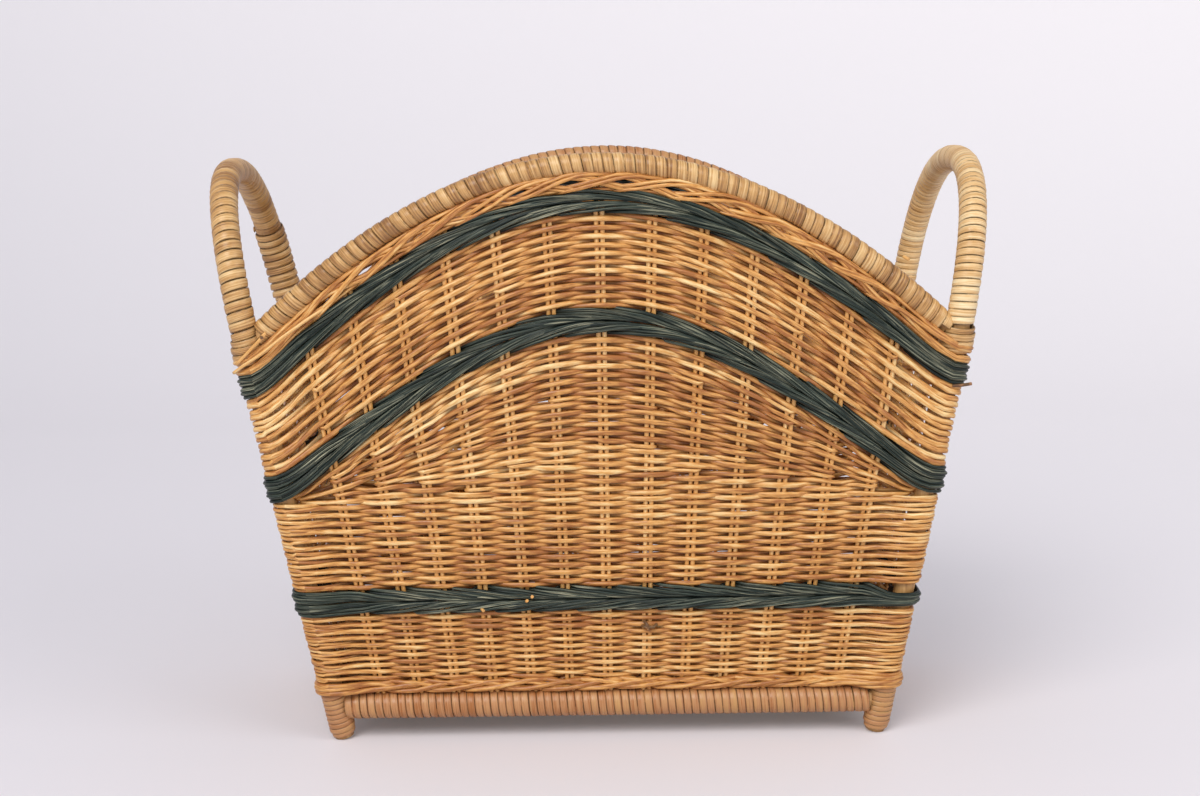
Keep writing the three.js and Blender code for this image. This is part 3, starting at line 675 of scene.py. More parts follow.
def weave_wale(
    strands, ring, form, course, outer, inner, rods, radius, pitch, depth,
    loose=0.00016, run=(0.05, 0.3, 0.6, 0.8), squeeze=0.0,
):
    """Three groups of rods, each out over two stakes and in behind the third. A group comes out at the
    outer height, runs nearly level over a bay, slants to the inner height and dives in under the next ones.
    run is the phases between which it slants, squeeze the share by which it narrows at the front right post."""
    random = strands.random
    away = np.sign(inner - outer)
    for group in range(3):
        for rod in range(rods):
            phase = ((ring.counts - group) / 3 + wander(random, ring.counts, WALE_PHASE_DRIFT)) % 1
            start = outer + away * rod * pitch
            fall = np.interp(phase, run, (0, 0.2, 0.76, 1)) * abs(inner - outer)
            room = max(abs(inner - start) - WALE_ROD_GAP * (rods - 1 - rod), 0)
            moved = np.maximum(room - np.logaddexp(0, (room - fall) / WALE_SOFTNESS) * WALE_SOFTNESS, 0)
            rise = start + away * moved * (1 - smooth(*WALE_BACK, phase)) + wander(random, ring.counts, loose)
            rise = mix(rise, -abs(outer) / 2, squeeze * ring.front_right)
            stack = (rods - 1 - rod) * WALE_STACK * radius * smooth(0.25, 0.55, phase) * (1 - smooth(0.75, 0.9, phase))
            out = wale_depth(phase)
            off = mix(WALE_INSIDE, depth, out) + stack + wander(random, ring.counts, WALE_DRIFT)
            post = form.sizes.pole_radius + radius + WALE_POST_SWING * out + stack
            path = ring.path(course, rise, off, post)
            girth = radius * random.uniform(*WALE_GIRTHS)
            # out paints shade on the rods where they dive in behind the stakes and a highlight where they come out
            strands.sweep(path, UP, girth, girth, ROD, closed=True, out=0.35 + 0.65 * out)


# Windings


def wind(
    strands, centre, turns, steps_per_turn, radius, width, thickness, normal,
    start=0.0, end=1.0, tilt=0.0, phase=0.0,
):
    """Strip of cane wound round a pole. radius may be a function of the share of the length."""
    random = strands.random
    count = int(turns * steps_per_turn) + 1
    share = np.linspace(start, end, count)
    fine = np.linspace(0, 1, 400)
    track = centre(fine)
    length = np.concatenate([[0], np.cumsum(np.linalg.norm(np.diff(track, axis=0), axis=1))])
    spot = centre(np.interp(share * length[-1], length, fine))
    step = 1e-3
    near = np.interp(np.clip(share - step, 0, 1) * length[-1], length, fine)
    far = np.interp(np.clip(share + step, 0, 1) * length[-1], length, fine)
    ahead = centre(far) - centre(near)
    ahead /= np.linalg.norm(ahead, axis=1)[:, None]
    normal = np.asarray(normal, float) / np.linalg.norm(normal)
    side = np.cross(ahead, normal)
    side /= np.linalg.norm(side, axis=1)[:, None]
    front = np.cross(side, ahead)
    angle = 2 * np.pi * np.linspace(0, turns, count) + phase
    angle_drift = wander(random, angle / (2 * np.pi), WINDING_DRIFT[0])
    reach = radius(share) if callable(radius) else np.full(count, radius)
    out = front * np.cos(angle)[:, None] + side * np.sin(angle)[:, None]
    path = spot + out * (reach - thickness / 2 + wander(random, angle / (2 * np.pi), WINDING_DRIFT[1]))[:, None]
    path += ahead * (angle_drift * width)[:, None]
    # out=1 paints shade on the hidden edges of the strip and leaves its crown unshaded
    strands.sweep(path, ahead + tilt * out, width / 2, thickness / 2, STRIP, out=1.0)


def line(start, end):
    start, end = np.asarray(start, float), np.asarray(end, float)
    return lambda share: start + (end - start) * np.asarray(share, float)[..., None]


def post_line(form, sign_x, sign_y, bottom, top):
    def point(share):
        z = mix(bottom, top, np.asarray(share, float))
        return np.array([sign_x * form.half_span(z), sign_y * form.half_depth(z), z]).T

    return point


# Materials


class Shader:
    """Small helper that adds and links shader nodes."""

    def __init__(self, name):
        self.material = bpy.data.materials.new(name)
        self.material.use_nodes = True
        self.tree = self.material.node_tree
        self.surface = next(node for node in self.tree.nodes if node.type == "BSDF_PRINCIPLED")

    def node(self, kind, inputs=None, **settings):
        made = self.tree.nodes.new(kind)
        for key, value in settings.items():
            setattr(made, key, value)
        for key, value in (inputs or {}).items():
            self.set(made.inputs[key], value)
        return made

    def set(self, socket, value):
        if isinstance(value, bpy.types.NodeSocket):
            self.tree.links.new(value, socket)
        else:
            socket.default_value = value

    def attribute(self, name):
        return self.node("ShaderNodeAttribute", attribute_name=name).outputs["Fac"]

    def place(self):
        return self.node("ShaderNodeTexCoord").outputs["Object"]

    def math(self, operation, first, second=0.0, third=0.0):
        return self.node("ShaderNodeMath", {0: first, 1: second, 2: third}, operation=operation).outputs[0]

    def remap(self, value, low, high, to_low, to_high):
        inputs = {"Value": value, "From Min": low, "From Max": high, "To Min": to_low, "To Max": to_high}
        return self.node("ShaderNodeMapRange", inputs).outputs[0]

    def add_layers(self, value, *layers):
        """Value with layers added: each is a source, its low and high, and what it adds at these."""
        for layer in layers:
            value = self.math("ADD", value, self.remap(*layer))
        return value

    def coat(self, colour, roughness, specular=0.5):
        self.set(self.surface.inputs["Base Color"], colour)
        self.set(self.surface.inputs["Roughness"], roughness)
        self.set(self.surface.inputs["Specular IOR Level"], specular)

    def ramp(self, value, stops):
        made = self.node("ShaderNodeValToRGB", {0: value})
        elements = made.color_ramp.elements
        while len(elements) < len(stops):
            elements.new(0.5)
        for element, (position, colour) in zip(elements, stops):
            element.position = position
            element.color = (*colour, 1)
        return made.outputs[0]

    def noise(self, vector, scale, detail=3.0, roughness=0.55):
        inputs = {"Vector": vector, "Scale": scale, "Detail": detail, "Roughness": roughness}
        return self.node("ShaderNodeTexNoise", inputs).outputs["Fac"]

    def blend(self, share, first, second):
        made = self.node("ShaderNodeMix", data_type="RGBA")
        self.set(made.inputs[0], share)
        self.set(made.inputs[6], first)
        self.set(made.inputs[7], second)
        return made.outputs[2]

    def darken(self, colour, share):
        return self.node("ShaderNodeVectorMath", {0: colour, "Scale": share}, operation="SCALE").outputs[0]

    def bump(self, height, strength, distance):
        made = self.node("ShaderNodeBump", {"Height": height, "Strength": strength, "Distance": distance})
        self.set(self.surface.inputs["Normal"], made.outputs[0])


def strand_fibres(shader, lengthwise, round_about):
    """Noise drawn out along the strand, from its lengthwise UVs."""
    uv = shader.node("ShaderNodeUVMap", uv_map="lengthwise").outputs[0]
    return shader.node("ShaderNodeMapping", {"Vector": uv, "Scale": (lengthwise, round_about, 1)}).outputs[0]


def reed_material(name, dark, mid, light, gloss=0.33):
    """Reeds: each has its own tone and long fibres; painted shade darkens the side that lies deep in the weave and a
    painted highlight lightens the crests that stand out.
    """
    shader = Shader(name)
    tone = shader.attribute("tone")
    painted_light = shader.attribute("painted_light")
    place = shader.place()
    drawn = strand_fibres(shader, 90, 6)
    patchy = strand_fibres(shader, 16, 0.6)
    fibres = shader.noise(drawn, 1.0, 4)
    patches = shader.noise(patchy, 1.0, 2)
    cloud = shader.noise(place, 9, 2)
    level = shader.node("ShaderNodeSeparateXYZ", {0: place}).outputs["Z"]
    value = shader.add_layers(
        shader.math("MULTIPLY_ADD", tone, 0.5, 0.02),
        (patches, 0.35, 0.65, -0.15, 0.17),
        (cloud, 0.35, 0.65, -0.08, 0.08),
        (fibres, 0.38, 0.62, -0.24, 0.26),
        # Painted highlight: paler where a reed stands out at a crest
        (painted_light, 0.6, 1.0, 0, 0.14),
        (level, 0.03, 0.13, -0.17, 0),
        (level, 0.2, 0.3, 0, -0.08),
    )
    colour = shader.ramp(value, [(0.0, dark), (0.42, mid), (1.0, light)])
    # Painted shade on the side of a reed that lies deep in the weave
    painted_shade = shader.remap(painted_light, 0.0, 0.38, 0.46, 1.0)
    shader.coat(shader.darken(colour, painted_shade), shader.remap(fibres, 0.3, 0.7, gloss - 0.06, gloss + 0.14))
    shader.bump(fibres, 0.5, 0.0004)
    return shader.material


def cane_material(name, dark, mid, light, gloss=0.34):
    """Split cane: fine grain along the strip, and painted shade on the edges of each strip, lifted in patches."""
    shader = Shader(name)
    tone = shader.attribute("tone")
    place = shader.place()
    drawn = strand_fibres(shader, 40, 13)
    patchy = strand_fibres(shader, 22, 1.2)
    grain = shader.noise(drawn, 1.0, 3)
    patches = shader.noise(patchy, 1.0, 3)
    shade_breaks = shader.noise(place, 130, 2)
    cloud = shader.noise(place, 14, 2)
    painted_light = shader.attribute("painted_light")
    value = shader.add_layers(
        shader.math("MULTIPLY_ADD", tone, 0.2, 0.36),
        (patches, 0.35, 0.65, -0.26, 0.26),
        (cloud, 0.35, 0.65, -0.16, 0.16),
        (grain, 0.35, 0.65, -0.3, 0.3),
    )
    colour = shader.ramp(value, [(0.0, dark), (0.45, mid), (1.0, light)])
    # Painted shade on the edges of each strip, where it tucks under the next turn, lifted in patches by a fine noise
    painted_edge_shade = shader.math("MAXIMUM", shader.remap(painted_light, 0.6, 0.84, 0.3, 1.0), shader.remap(shade_breaks, 0.46, 0.62, 0, 1))
    shader.coat(shader.darken(colour, painted_edge_shade), shader.remap(grain, 0.3, 0.7, gloss - 0.1, gloss + 0.16))
    shader.bump(grain, 0.6, 0.0004)
    return shader.material


def green_material(name, dark, mid, worn):
    """Stained rods: deep green in the lines of the bark, pale where the stain has rubbed off, with painted shade where
    the rods lie deep and a faint painted highlight on their crowns.
    """
    shader = Shader(name)
    tone = shader.attribute("tone")
    place = shader.place()
    drawn = strand_fibres(shader, 34, 12)
    patchy = strand_fibres(shader, 14, 2.5)
    fibres = shader.noise(drawn, 1.0, 4, 0.65)
    patches = shader.noise(patchy, 1.0, 3)
    cloud = shader.noise(place, 18, 2)
    painted_light = shader.attribute("painted_light")
    value = shader.add_layers(
        shader.math("MULTIPLY_ADD", tone, 0.3, 0.1), (patches, 0.35, 0.65, -0.2, 0.25), (fibres, 0.35, 0.65, -0.3, 0.45)
    )
    stain = shader.ramp(value, [(0.0, dark), (0.5, mid), (1.0, tuple(2.4 * part for part in mid))])
    rubbed = shader.math("MULTIPLY", shader.remap(fibres, 0.49, 0.59, 0, 1), shader.remap(patches, 0.41, 0.55, 0, 1))
    rubbed = shader.math("MULTIPLY", rubbed, shader.remap(cloud, 0.4, 0.6, 0.35, 1.0))
    colour = shader.blend(shader.math("MULTIPLY", rubbed, painted_light), stain, (*worn, 1))
    # Painted shade on the inner half and the sides of each rod, strongest where a rod dives in; a faint painted
    # highlight just over 1 on the crowns
    painted_shade = shader.remap(painted_light, 0.5, 0.93, 0.12, 1.15)
    shader.coat(shader.darken(colour, painted_shade), shader.remap(fibres, 0.3, 0.7, 0.26, 0.44), 0.26)
    shader.bump(fibres, 0.6, 0.0004)
    return shader.material


def pole_material(name, dark, mid, light):
    """Peeled pole: long grain on Object coordinates and broad cloudy patches."""
    shader = Shader(name)
    place = shader.place()
    drawn = shader.node("ShaderNodeMapping", {"Vector": place, "Scale": (420, 420, 22)}).outputs[0]
    grain = shader.noise(drawn, 1.0, 3)
    cloud = shader.noise(place, 24, 2)
    value = shader.math("ADD", shader.remap(grain, 0.3, 0.7, 0.12, 0.62), shader.remap(cloud, 0.3, 0.7, -0.15, 0.2))
    colour = shader.ramp(value, [(0.0, dark), (0.5, mid), (1.0, light)])
    shader.coat(colour, shader.remap(grain, 0.3, 0.7, 0.36, 0.55))
    shader.bump(grain, 0.25, 0.0004)
    return shader.material


def finish(name):
    """Material of a finish, made from the colours in the sidebar when it is first used."""
    made = f"{name}_finish"
    if made in bpy.data.materials:
        return bpy.data.materials[made]
    c = bpy.context.scene.basket_colours
    makers = {
        "natural_reed": lambda: reed_material(made, c.reed_dark, c.reed_mid, c.reed_light),
        "stake_reed": lambda: reed_material(made, c.reed_mid, c.stake_mid, c.reed_light),
        "cane_peel": lambda: cane_material(made, c.cane_dark, c.cane_mid, c.cane_light),
        "pale_peel": lambda: cane_material(made, c.cane_mid, c.straw_mid, c.straw_light),
        "rail_peel": lambda: cane_material(made, c.reed_dark, c.rail_mid, c.cane_mid),
        "green_reed": lambda: green_material(made, c.green_dark, c.green_mid, c.green_worn),
        "rattan_pole": lambda: pole_material(made, c.cane_dark, c.cane_mid, c.cane_light),
    }
    return makers[name]()


# Operators


class BasketOperator:
    """What the operators share."""

    bl_options = {"REGISTER", "UNDO"}

    def execute(self, context):
        self.make(context, Form(context.scene))
        return {"FINISHED"}


class BASKET_OT_end_hoops(BasketOperator, bpy.types.Operator):
    """Bend the two poles that are feet, posts and handles"""

    bl_idname = "basket.end_hoops"
    bl_label = "End Hoops"

    def make(self, context, form):
        s = form.sizes
        for name, side in zip(END_SIDES, (1, -1)):
            rise = np.linspace(s.pole_radius * form.span_lean * 1.3, s.collar_height, 14)[:-1]
            leg = np.array([side * form.half_span(rise), -form.half_depth(rise), rise]).T
            other = (leg * (1, -1, 1))[::-1]
            path = np.concatenate([leg, form.handle(side)(np.linspace(0, 1, 49)), other])
            strands = Strands(11)
            strands.sweep(path, (1, 0, 0), s.pole_radius, s.pole_radius, rounded(16), tone=0.5)
            strands.build(f"{name}_hoop_pole", finish("rattan_pole"), [f"{name}_end_hoop"])


class BASKET_OT_handle_windings(BasketOperator, bpy.types.Operator):
    """Wind cane round the handles"""

    bl_idname = "basket.handle_windings"
    bl_label = "Handle Windings"

    sleeve_turns = 9
    sleeve_run = (0.82, 0.975)
    sleeve_width = 0.0044

    def make(self, context, form):
        s = form.sizes
        for name, side, turns, tilt in (("right", 1, 74, 0.03), ("left", -1, 56, 0.1)):
            strands = Strands(21 + turns)
            centre = form.handle(side)
            length = np.linalg.norm(np.diff(centre(np.linspace(0, 1, 200)), axis=0), axis=1).sum()
            width = (1.0 if side > 0 else 0.97) * length / turns
            outward = (side, 0, -form.span_lean)
            wind(strands, centre, turns, TURN_STEPS, s.handle_winding, width, CANE, outward, tilt=tilt)
            if side < 0:
                wind(
                    strands, centre, self.sleeve_turns, TURN_STEPS, s.handle_winding + CANE, self.sleeve_width,
                    THIN_CANE, outward, *self.sleeve_run, tilt=0.12,
                )
            peel = finish("pale_peel" if side > 0 else "cane_peel")
            strands.build(f"{name}_handle_cane", peel, [f"{name}_handle_wrap"])


class BASKET_OT_rim_windings(BasketOperator, bpy.types.Operator):
    """Wind cane round the four rims"""

    bl_idname = "basket.rim_windings"
    bl_label = "Rim Windings"

    long_turns, long_width = 76, 0.0061
    end_turns, end_width = 32, 0.0055

    def make(self, context, form):
        s = form.sizes
        inset = s.lashing_radius * 0.8
        reach = form.half_span(s.rim_end) - inset
        for name, side in zip(LONG_SIDES, (-1, 1)):
            strands = Strands(31 + side)

            def centre(share, side=side):
                along = side * -mix(-reach, reach, np.asarray(share, float))
                z = form.rim(along)
                return np.array([along, side * form.half_depth(z), z]).T

            fuller = lambda share: s.rim_winding * mix(0.9, 1.05, np.abs(2 * share - 1) ** 2)
            outward = (0, side, -form.depth_lean)
            wind(strands, centre, self.long_turns, TURN_STEPS, fuller, self.long_width, CANE, outward, tilt=0.06)
            # Painted shade: the back rim takes the darker red brown rail cane instead of the honey cane of the front
            # rim
            peel = finish("cane_peel" if side < 0 else "rail_peel")
            strands.build(f"{name}_rim_cane", peel, [f"{name}_rim_wrap"])
        for name, side in zip(END_SIDES, (1, -1)):
            strands = Strands(41 + side)
            x = side * form.half_span(s.rim_end)
            y = form.half_depth(s.rim_end) - inset
            centre = line((x, -y, s.rim_end), (x, y, s.rim_end))
            outward = (side, 0, -form.span_lean)
            wind(strands, centre, self.end_turns, TURN_STEPS, s.rim_winding, self.end_width, CANE, outward)
            strands.build(f"{name}_end_rim_cane", finish("cane_peel"), [f"{name}_end_rim_wrap"])


class BASKET_OT_rail_windings(BasketOperator, bpy.types.Operator):
    """Wind cane round the base rails"""

    bl_idname = "basket.rail_windings"
    bl_label = "Rail Windings"

    def make(self, context, form):
        s = form.sizes
        z = s.rail_height
        x, y = form.half_span(z), form.half_depth(z)
        inset = s.foot_winding * 0.85
        runs = {
            "front": ((-x + inset, -y, z), (x - inset, -y, z), 68),
            "right": ((x, -y + inset, z), (x, y - inset, z), 26),
            "back": ((x - inset, y, z), (-x + inset, y, z), 68),
            "left": ((-x, y - inset, z), (-x, -y + inset, z), 26),
        }
        for name, (start, end, turns) in runs.items():
            strands = Strands(51 + turns)
            length = (Vector(end) - Vector(start)).length
            width = 0.99 * length / turns
            wind(strands, line(start, end), turns, TURN_STEPS, s.rail_winding, width, THIN_CANE, UP, tilt=0.05)
            strands.build(f"{name}_rail_cane", finish("rail_peel"), [f"{name}_base_rail_wrap"])


class BASKET_OT_corner_windings(BasketOperator, bpy.types.Operator):
    """Wind cane round the feet and lash the rims to the posts"""

    bl_idname = "basket.corner_windings"
    bl_label = "Feet and Lashings"

    foot_start = 0.0030
    foot_turns, foot_width = 9, 0.0034
    lashing_turns, lashing_width = 4, 0.0044
    crossing_turns, crossing_width, crossing_cane = 2, 0.0040, 0.0011

    def make(self, context, form):
        s = form.sizes
        for name, (sign_x, sign_y) in CORNERS.items():
            strands = Strands(61 + sign_x + 2 * sign_y)
            top = s.rail_height + s.rail_winding + 0.001
            rounded_foot = lambda share: s.foot_winding * mix(0.86, 1.0, smooth(0, 0.16, share))
            foot = post_line(form, sign_x, sign_y, self.foot_start, top)
            wind(
                strands, foot, self.foot_turns, POST_TURN_STEPS, rounded_foot, self.foot_width, CANE, (0, 1, 0),
                tilt=0.05,
            )
            strands.build(f"{name}_foot_cane", finish("rail_peel"), [f"{name}_foot_wrap"])
            strands = Strands(71 + sign_x + 2 * sign_y)
            low = s.collar_height - s.lashing_height
            rising = post_line(form, sign_x, sign_y, low + 0.002, s.collar_height - 0.0004)
            falling = post_line(form, sign_x, sign_y, s.collar_height - 0.004, low + 0.004)
            wind(
                strands, rising, self.lashing_turns, POST_TURN_STEPS, s.lashing_radius - 0.0007,
                self.lashing_width, CANE, (0, 1, 0), tilt=0.12,
            )
            wind(
                strands, falling, self.crossing_turns, POST_TURN_STEPS, s.lashing_radius + 0.0002,
                self.crossing_width, self.crossing_cane, (0, 1, 0), phase=1.0,
            )
            strands.build(f"{name}_post_lashing", finish("cane_peel"), [f"{name}_lashing"])


class BASKET_OT_stakes(BasketOperator, bpy.types.Operator):
    """Stand the paired reeds that the walls are woven on"""

    bl_idname = "basket.stakes"
    bl_label = "Stakes"

    girths = (0.94, 1.05)

    def make(self, context, form):
        w = form.weave
        foot = form.sizes.rail_height
        for wall, name in enumerate(("front", "right", "back", "left")):
            strands = Strands(81 + wall)
            last = form.stakes(wall)
            across = (1, 0, 0) if wall % 2 == 0 else (0, 1, 0)
            for stake in range(-last, last + 1):
                at = np.array([float(stake)])
                if wall % 2 == 0:
                    top = float(form.settle(wall, at, form.rim)[0])
                else:
                    top = form.sizes.rim_end
                z = np.linspace(foot, top, 40)
                bay = form.along(wall, 1, z)
                for side in (-1, 1):
                    beside = side * w.stake_spacing / 2
                    place = stake + (beside + wander(strands.random, z * 60, STAKE_DRIFT[0])) / bay
                    off = w.stake_swell + wander(strands.random, z * 60, STAKE_DRIFT[1])
                    radius = w.stake_radius * strands.random.uniform(*self.girths)
                    strands.sweep(form.on_wall(wall, place, z, off), across, radius, radius, ROD)
            strands.build(f"{name}_stakes", finish("stake_reed"), [])


class BASKET_OT_level_rows(BasketOperator, bpy.types.Operator):
    """Weave the rows below and above the lower band, right round the basket"""

    bl_idname = "basket.level_rows"
    bl_label = "Level Rows"

    def make(self, context, form):
        w = form.weave
        zones = (
            ("lower", w.base_wale_height + w.base_wale_half, w.lower_band - w.band_half + w.tuck, w.lower_pitch),
            ("middle", w.lower_band + w.band_half - w.tuck, w.fan_start + w.tuck, w.row_pitch),
        )
        for number, (zone, bottom, top, pitch) in enumerate(zones):
            strands = Strands(101 + number)
            weave_level_rows(strands, Ring(form), form, bottom, top, pitch)
            nodes = [f"{side}_{zone}_panel" for side in LONG_SIDES + END_SIDES]
            strands.build(f"{zone}_weavers", finish("natural_reed"), nodes)


class BASKET_OT_arched_rows(BasketOperator, bpy.types.Operator):
    """Weave the arched rows between the middle and the upper band"""

    bl_idname = "basket.arched_rows"
    bl_label = "Arched Rows"

    play = 0.05

    def make(self, context, form):
        w = form.weave
        bottom = form.zone(form.middle_course, w.band_half - w.tuck)
        top = form.zone(form.upper_course, w.tuck - w.upper_band_half)
        rows = 2 * round(float(top(0, 0.0) - bottom(0, 0.0)) / w.row_pitch / 2)
        panel = Panel(form, bottom, top, rows, w.corner_pairs)
        strands = Strands(111)
        ring = Ring(form)
        for pair in range(panel.pairs):
            if np.isinf(panel.ends[1][pair]):
                for row in (2 * pair, 2 * pair + 1):
                    offset = strands.random.uniform(-self.play, self.play)
                    weave_ring_row(strands, ring, form, row, panel.height(row, offset), panel.fill(row))
            else:
                for wall in (0, 2):
                    weave_short_pair(strands, form, panel, wall, pair)
        nodes = [f"{side}_upper_panel" for side in LONG_SIDES + END_SIDES]
        strands.build("upper_weavers", finish("natural_reed"), nodes)


class BASKET_OT_fanned_rows(BasketOperator, bpy.types.Operator):
    """Fill the space under the middle arch with fanned short rows"""

    bl_idname = "basket.fanned_rows"
    bl_label = "Fanned Rows"

    last_pairs = 3
    corner_reach = 0.98

    def make(self, context, form):
        w = form.weave
        bottom, top = form.course(w.fan_start), form.zone(form.middle_course, w.tuck - w.band_half)
        rows = 2 * round(float(top(0, 0.0) - w.fan_start) / w.row_pitch / 2)
        panel = Panel(form, bottom, top, rows, self.last_pairs, self.corner_reach)
        for wall, side in ((0, "front"), (2, "back")):
            strands = Strands(121 + wall)
            for pair in range(panel.pairs):
                weave_short_pair(strands, form, panel, wall, pair)
            strands.build(f"{side}_fan_weavers", finish("natural_reed"), [f"{side}_fan_panel"])


class BASKET_OT_green_bands(BasketOperator, bpy.types.Operator):
    """Lay the stained arrow wales: two wales that slant towards each other"""

    bl_idname = "basket.green_bands"
    bl_label = "Green Bands"

    rods = 3
    depth = 0.0042
    lower_squeeze = 0.55

    def make(self, context, form):
        w = form.weave
        bands = (
            ("lower", form.course(w.lower_band), w.band_half, self.lower_squeeze),
            ("middle", form.middle_course, w.band_half, 0),
            ("upper", form.upper_course, w.upper_band_half, 0),
        )
        for number, (name, course, half, squeeze) in enumerate(bands):
            strands = Strands(131 + number)
            ring = Ring(form)
            for side in (1, -1):
                outer, inner = side * (half - w.rod_radius), side * w.rod_radius
                weave_wale(
                    strands, ring, form, course, outer, inner, self.rods, w.rod_radius, w.rod_pitch, self.depth,
                    squeeze=squeeze,
                )
            strands.build(f"{name}_arrow_band", finish("green_reed"), [f"{name}_green_band"])


class BASKET_OT_natural_wales(BasketOperator, bpy.types.Operator):
    """Lay the natural wales above the base rails and under the rims"""

    bl_idname = "basket.natural_wales"
    bl_label = "Natural Wales"

    looseness = 0.0004
    base_depth, top_depth = 0.0040, 0.0042
    top_outer, top_inner = 0.0054, 0.0048
    top_rods, top_pitch, top_run = 2, 0.0021, (0.1, 0.24, 0.46, 0.6)

    def make(self, context, form):
        w = form.weave
        radius = w.reed_height / 2
        strands = Strands(141)
        reach = w.base_wale_half - radius * 0.6
        base = form.course(w.base_wale_height)
        for side in (1, -1):
            girth, depth = radius * (1.1 + 0.1 * side), self.base_depth + side * 0.0005
            weave_wale(
                strands, Ring(form), form, base, -side * reach, side * reach, 1, girth, 0, depth, self.looseness
            )
        strands.build("base_wale", finish("natural_reed"), [])
        strands = Strands(142)
        over = form.zone(form.upper_course, w.upper_band_half)
        under = form.course(w.rim_seat, form.rim_underside, w.upper_slope)
        middle = lambda wall, stake: mix(over(wall, stake), under(wall, stake), 0.5)
        for side in (1, -1):
            outer, inner, depth = -side * self.top_outer, side * self.top_inner, self.top_depth + side * 0.0006
            weave_wale(
                strands, Ring(form), form, middle, outer, inner, self.top_rods, radius * 0.86, self.top_pitch,
                depth, self.looseness, self.top_run,
            )
        nodes = [f"{side}_top_wale" for side in LONG_SIDES + END_SIDES]
        strands.build("top_wale", finish("natural_reed"), nodes)


class BASKET_OT_loose_ends(BasketOperator, bpy.types.Operator):
    """Lay the rod that crosses the left lashing, and the cut ends and pegs that stick out of the front"""

    bl_idname = "basket.loose_ends"
    bl_label = "Loose Ends"

    crossing_rod = (
        (-5.5, 0.2760, 0.0036), (-6.0, 0.2675, 0.0078), (-6.5, 0.2585, 0.0112),
        (-7.0, 0.2490, 0.0126), (-7.4, 0.2425, 0.0112), (-7.62, 0.2385, 0.0078),
    )
    pale_ends = (
        ((-6.75, 0.2625, 0.0100), (-6.95, 0.2570, 0.0120), (-7.5, 0.2440, 0.0105)),
        ((-1.97, 0.0905, 0.0030), (-1.93, 0.0922, 0.0070)),
        ((-1.82, 0.0930, 0.0030), (-1.80, 0.0948, 0.0068)),
        ((-3.1, 0.0868, 0.0030), (-3.02, 0.0858, 0.0066)),
        ((5.86, 0.3005, 0.0040), (5.95, 0.2990, 0.0072)),
    )
    brown_ends = (
        ((7.3, 0.2238, 0.0084), (7.5, 0.2240, 0.0086), (7.7, 0.2246, 0.0072)),
        ((0.86, 0.0738, 0.0020), (0.95, 0.0733, 0.0052), (1.16, 0.0730, 0.0050), (1.24, 0.0742, 0.0024)),
        ((0.92, 0.0766, 0.0024), (1.0, 0.0748, 0.0056), (1.04, 0.0714, 0.0050)),
        ((-6.84, 0.2600, 0.0098), (-6.84, 0.2600, 0.0124)),
    )

    def make(self, context, form):
        radius = form.weave.reed_height * 0.36
        pale_ends = (self.crossing_rod, *self.pale_ends)
        for name, look, ends in (("pale", "stake_reed", pale_ends), ("brown", "rail_peel", self.brown_ends)):
            strands = Strands(161)
            for end in ends:
                stake, z, off = np.array(end).T
                run = np.linspace(0, 1, 4 * len(end))
                knots = np.linspace(0, 1, len(end))
                stake, z, off = (np.interp(run, knots, values) for values in (stake, z, off))
                strands.sweep(form.on_wall(0, stake, z, off), (0.1, 0, 1), radius, radius, ROD)
            strands.build(f"{name}_loose_ends", finish(look), [])


class BASKET_OT_floor(BasketOperator, bpy.types.Operator):
    """Weave the floor between the base rails"""

    bl_idname = "basket.floor"
    bl_label = "Floor"

    def make(self, context, form):
        w = form.weave
        low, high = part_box("floor_panel")
        z = (low.z + high.z) / 2
        strands = Strands(151)
        last = form.stakes(0)
        bay = form.half_span(z) / form.reach(0)
        for stake in range(-last, last + 1):
            for side in (-1, 1):
                x = stake * bay + side * w.stake_spacing / 2
                stick = [(x, y, z) for y in np.linspace(low.y, high.y, 12)]
                strands.sweep(stick, (1, 0, 0), w.stake_radius, w.stake_radius, ROD)
        rows = int((high.y - low.y) / w.row_pitch)
        reach = (high.x - MIDDLE_X) / bay
        stations = np.linspace(-reach, reach, int(2 * reach * 5) + 1)
        for row in range(rows):
            y = mix(low.y, high.y, (row + 0.5) / rows) + wander(strands.random, stations, 0.0001)
            rise = over_under(stations, row, -last, last, w.wave)
            path = np.array([stations * bay, y, z + rise]).T
            strands.sweep(path, (0, 1, 0), w.reed_height / 2 * 0.95, w.reed_depth / 2, REED)
        strands.build("floor_weave", finish("natural_reed"), ["floor_panel"])


class BASKET_OT_hidden_poles(BasketOperator, bpy.types.Operator):
    """Give the poles inside the rims and rails their finish"""

    bl_idname = "basket.hidden_poles"
    bl_label = "Poles in Rims and Rails"

    def make(self, context, form):
        for name, node in frame["nodes"].items():
            if name.endswith(("rim_pole", "base_rail")):
                node.data.materials.clear()
                node.data.materials.append(finish("rattan_pole"))


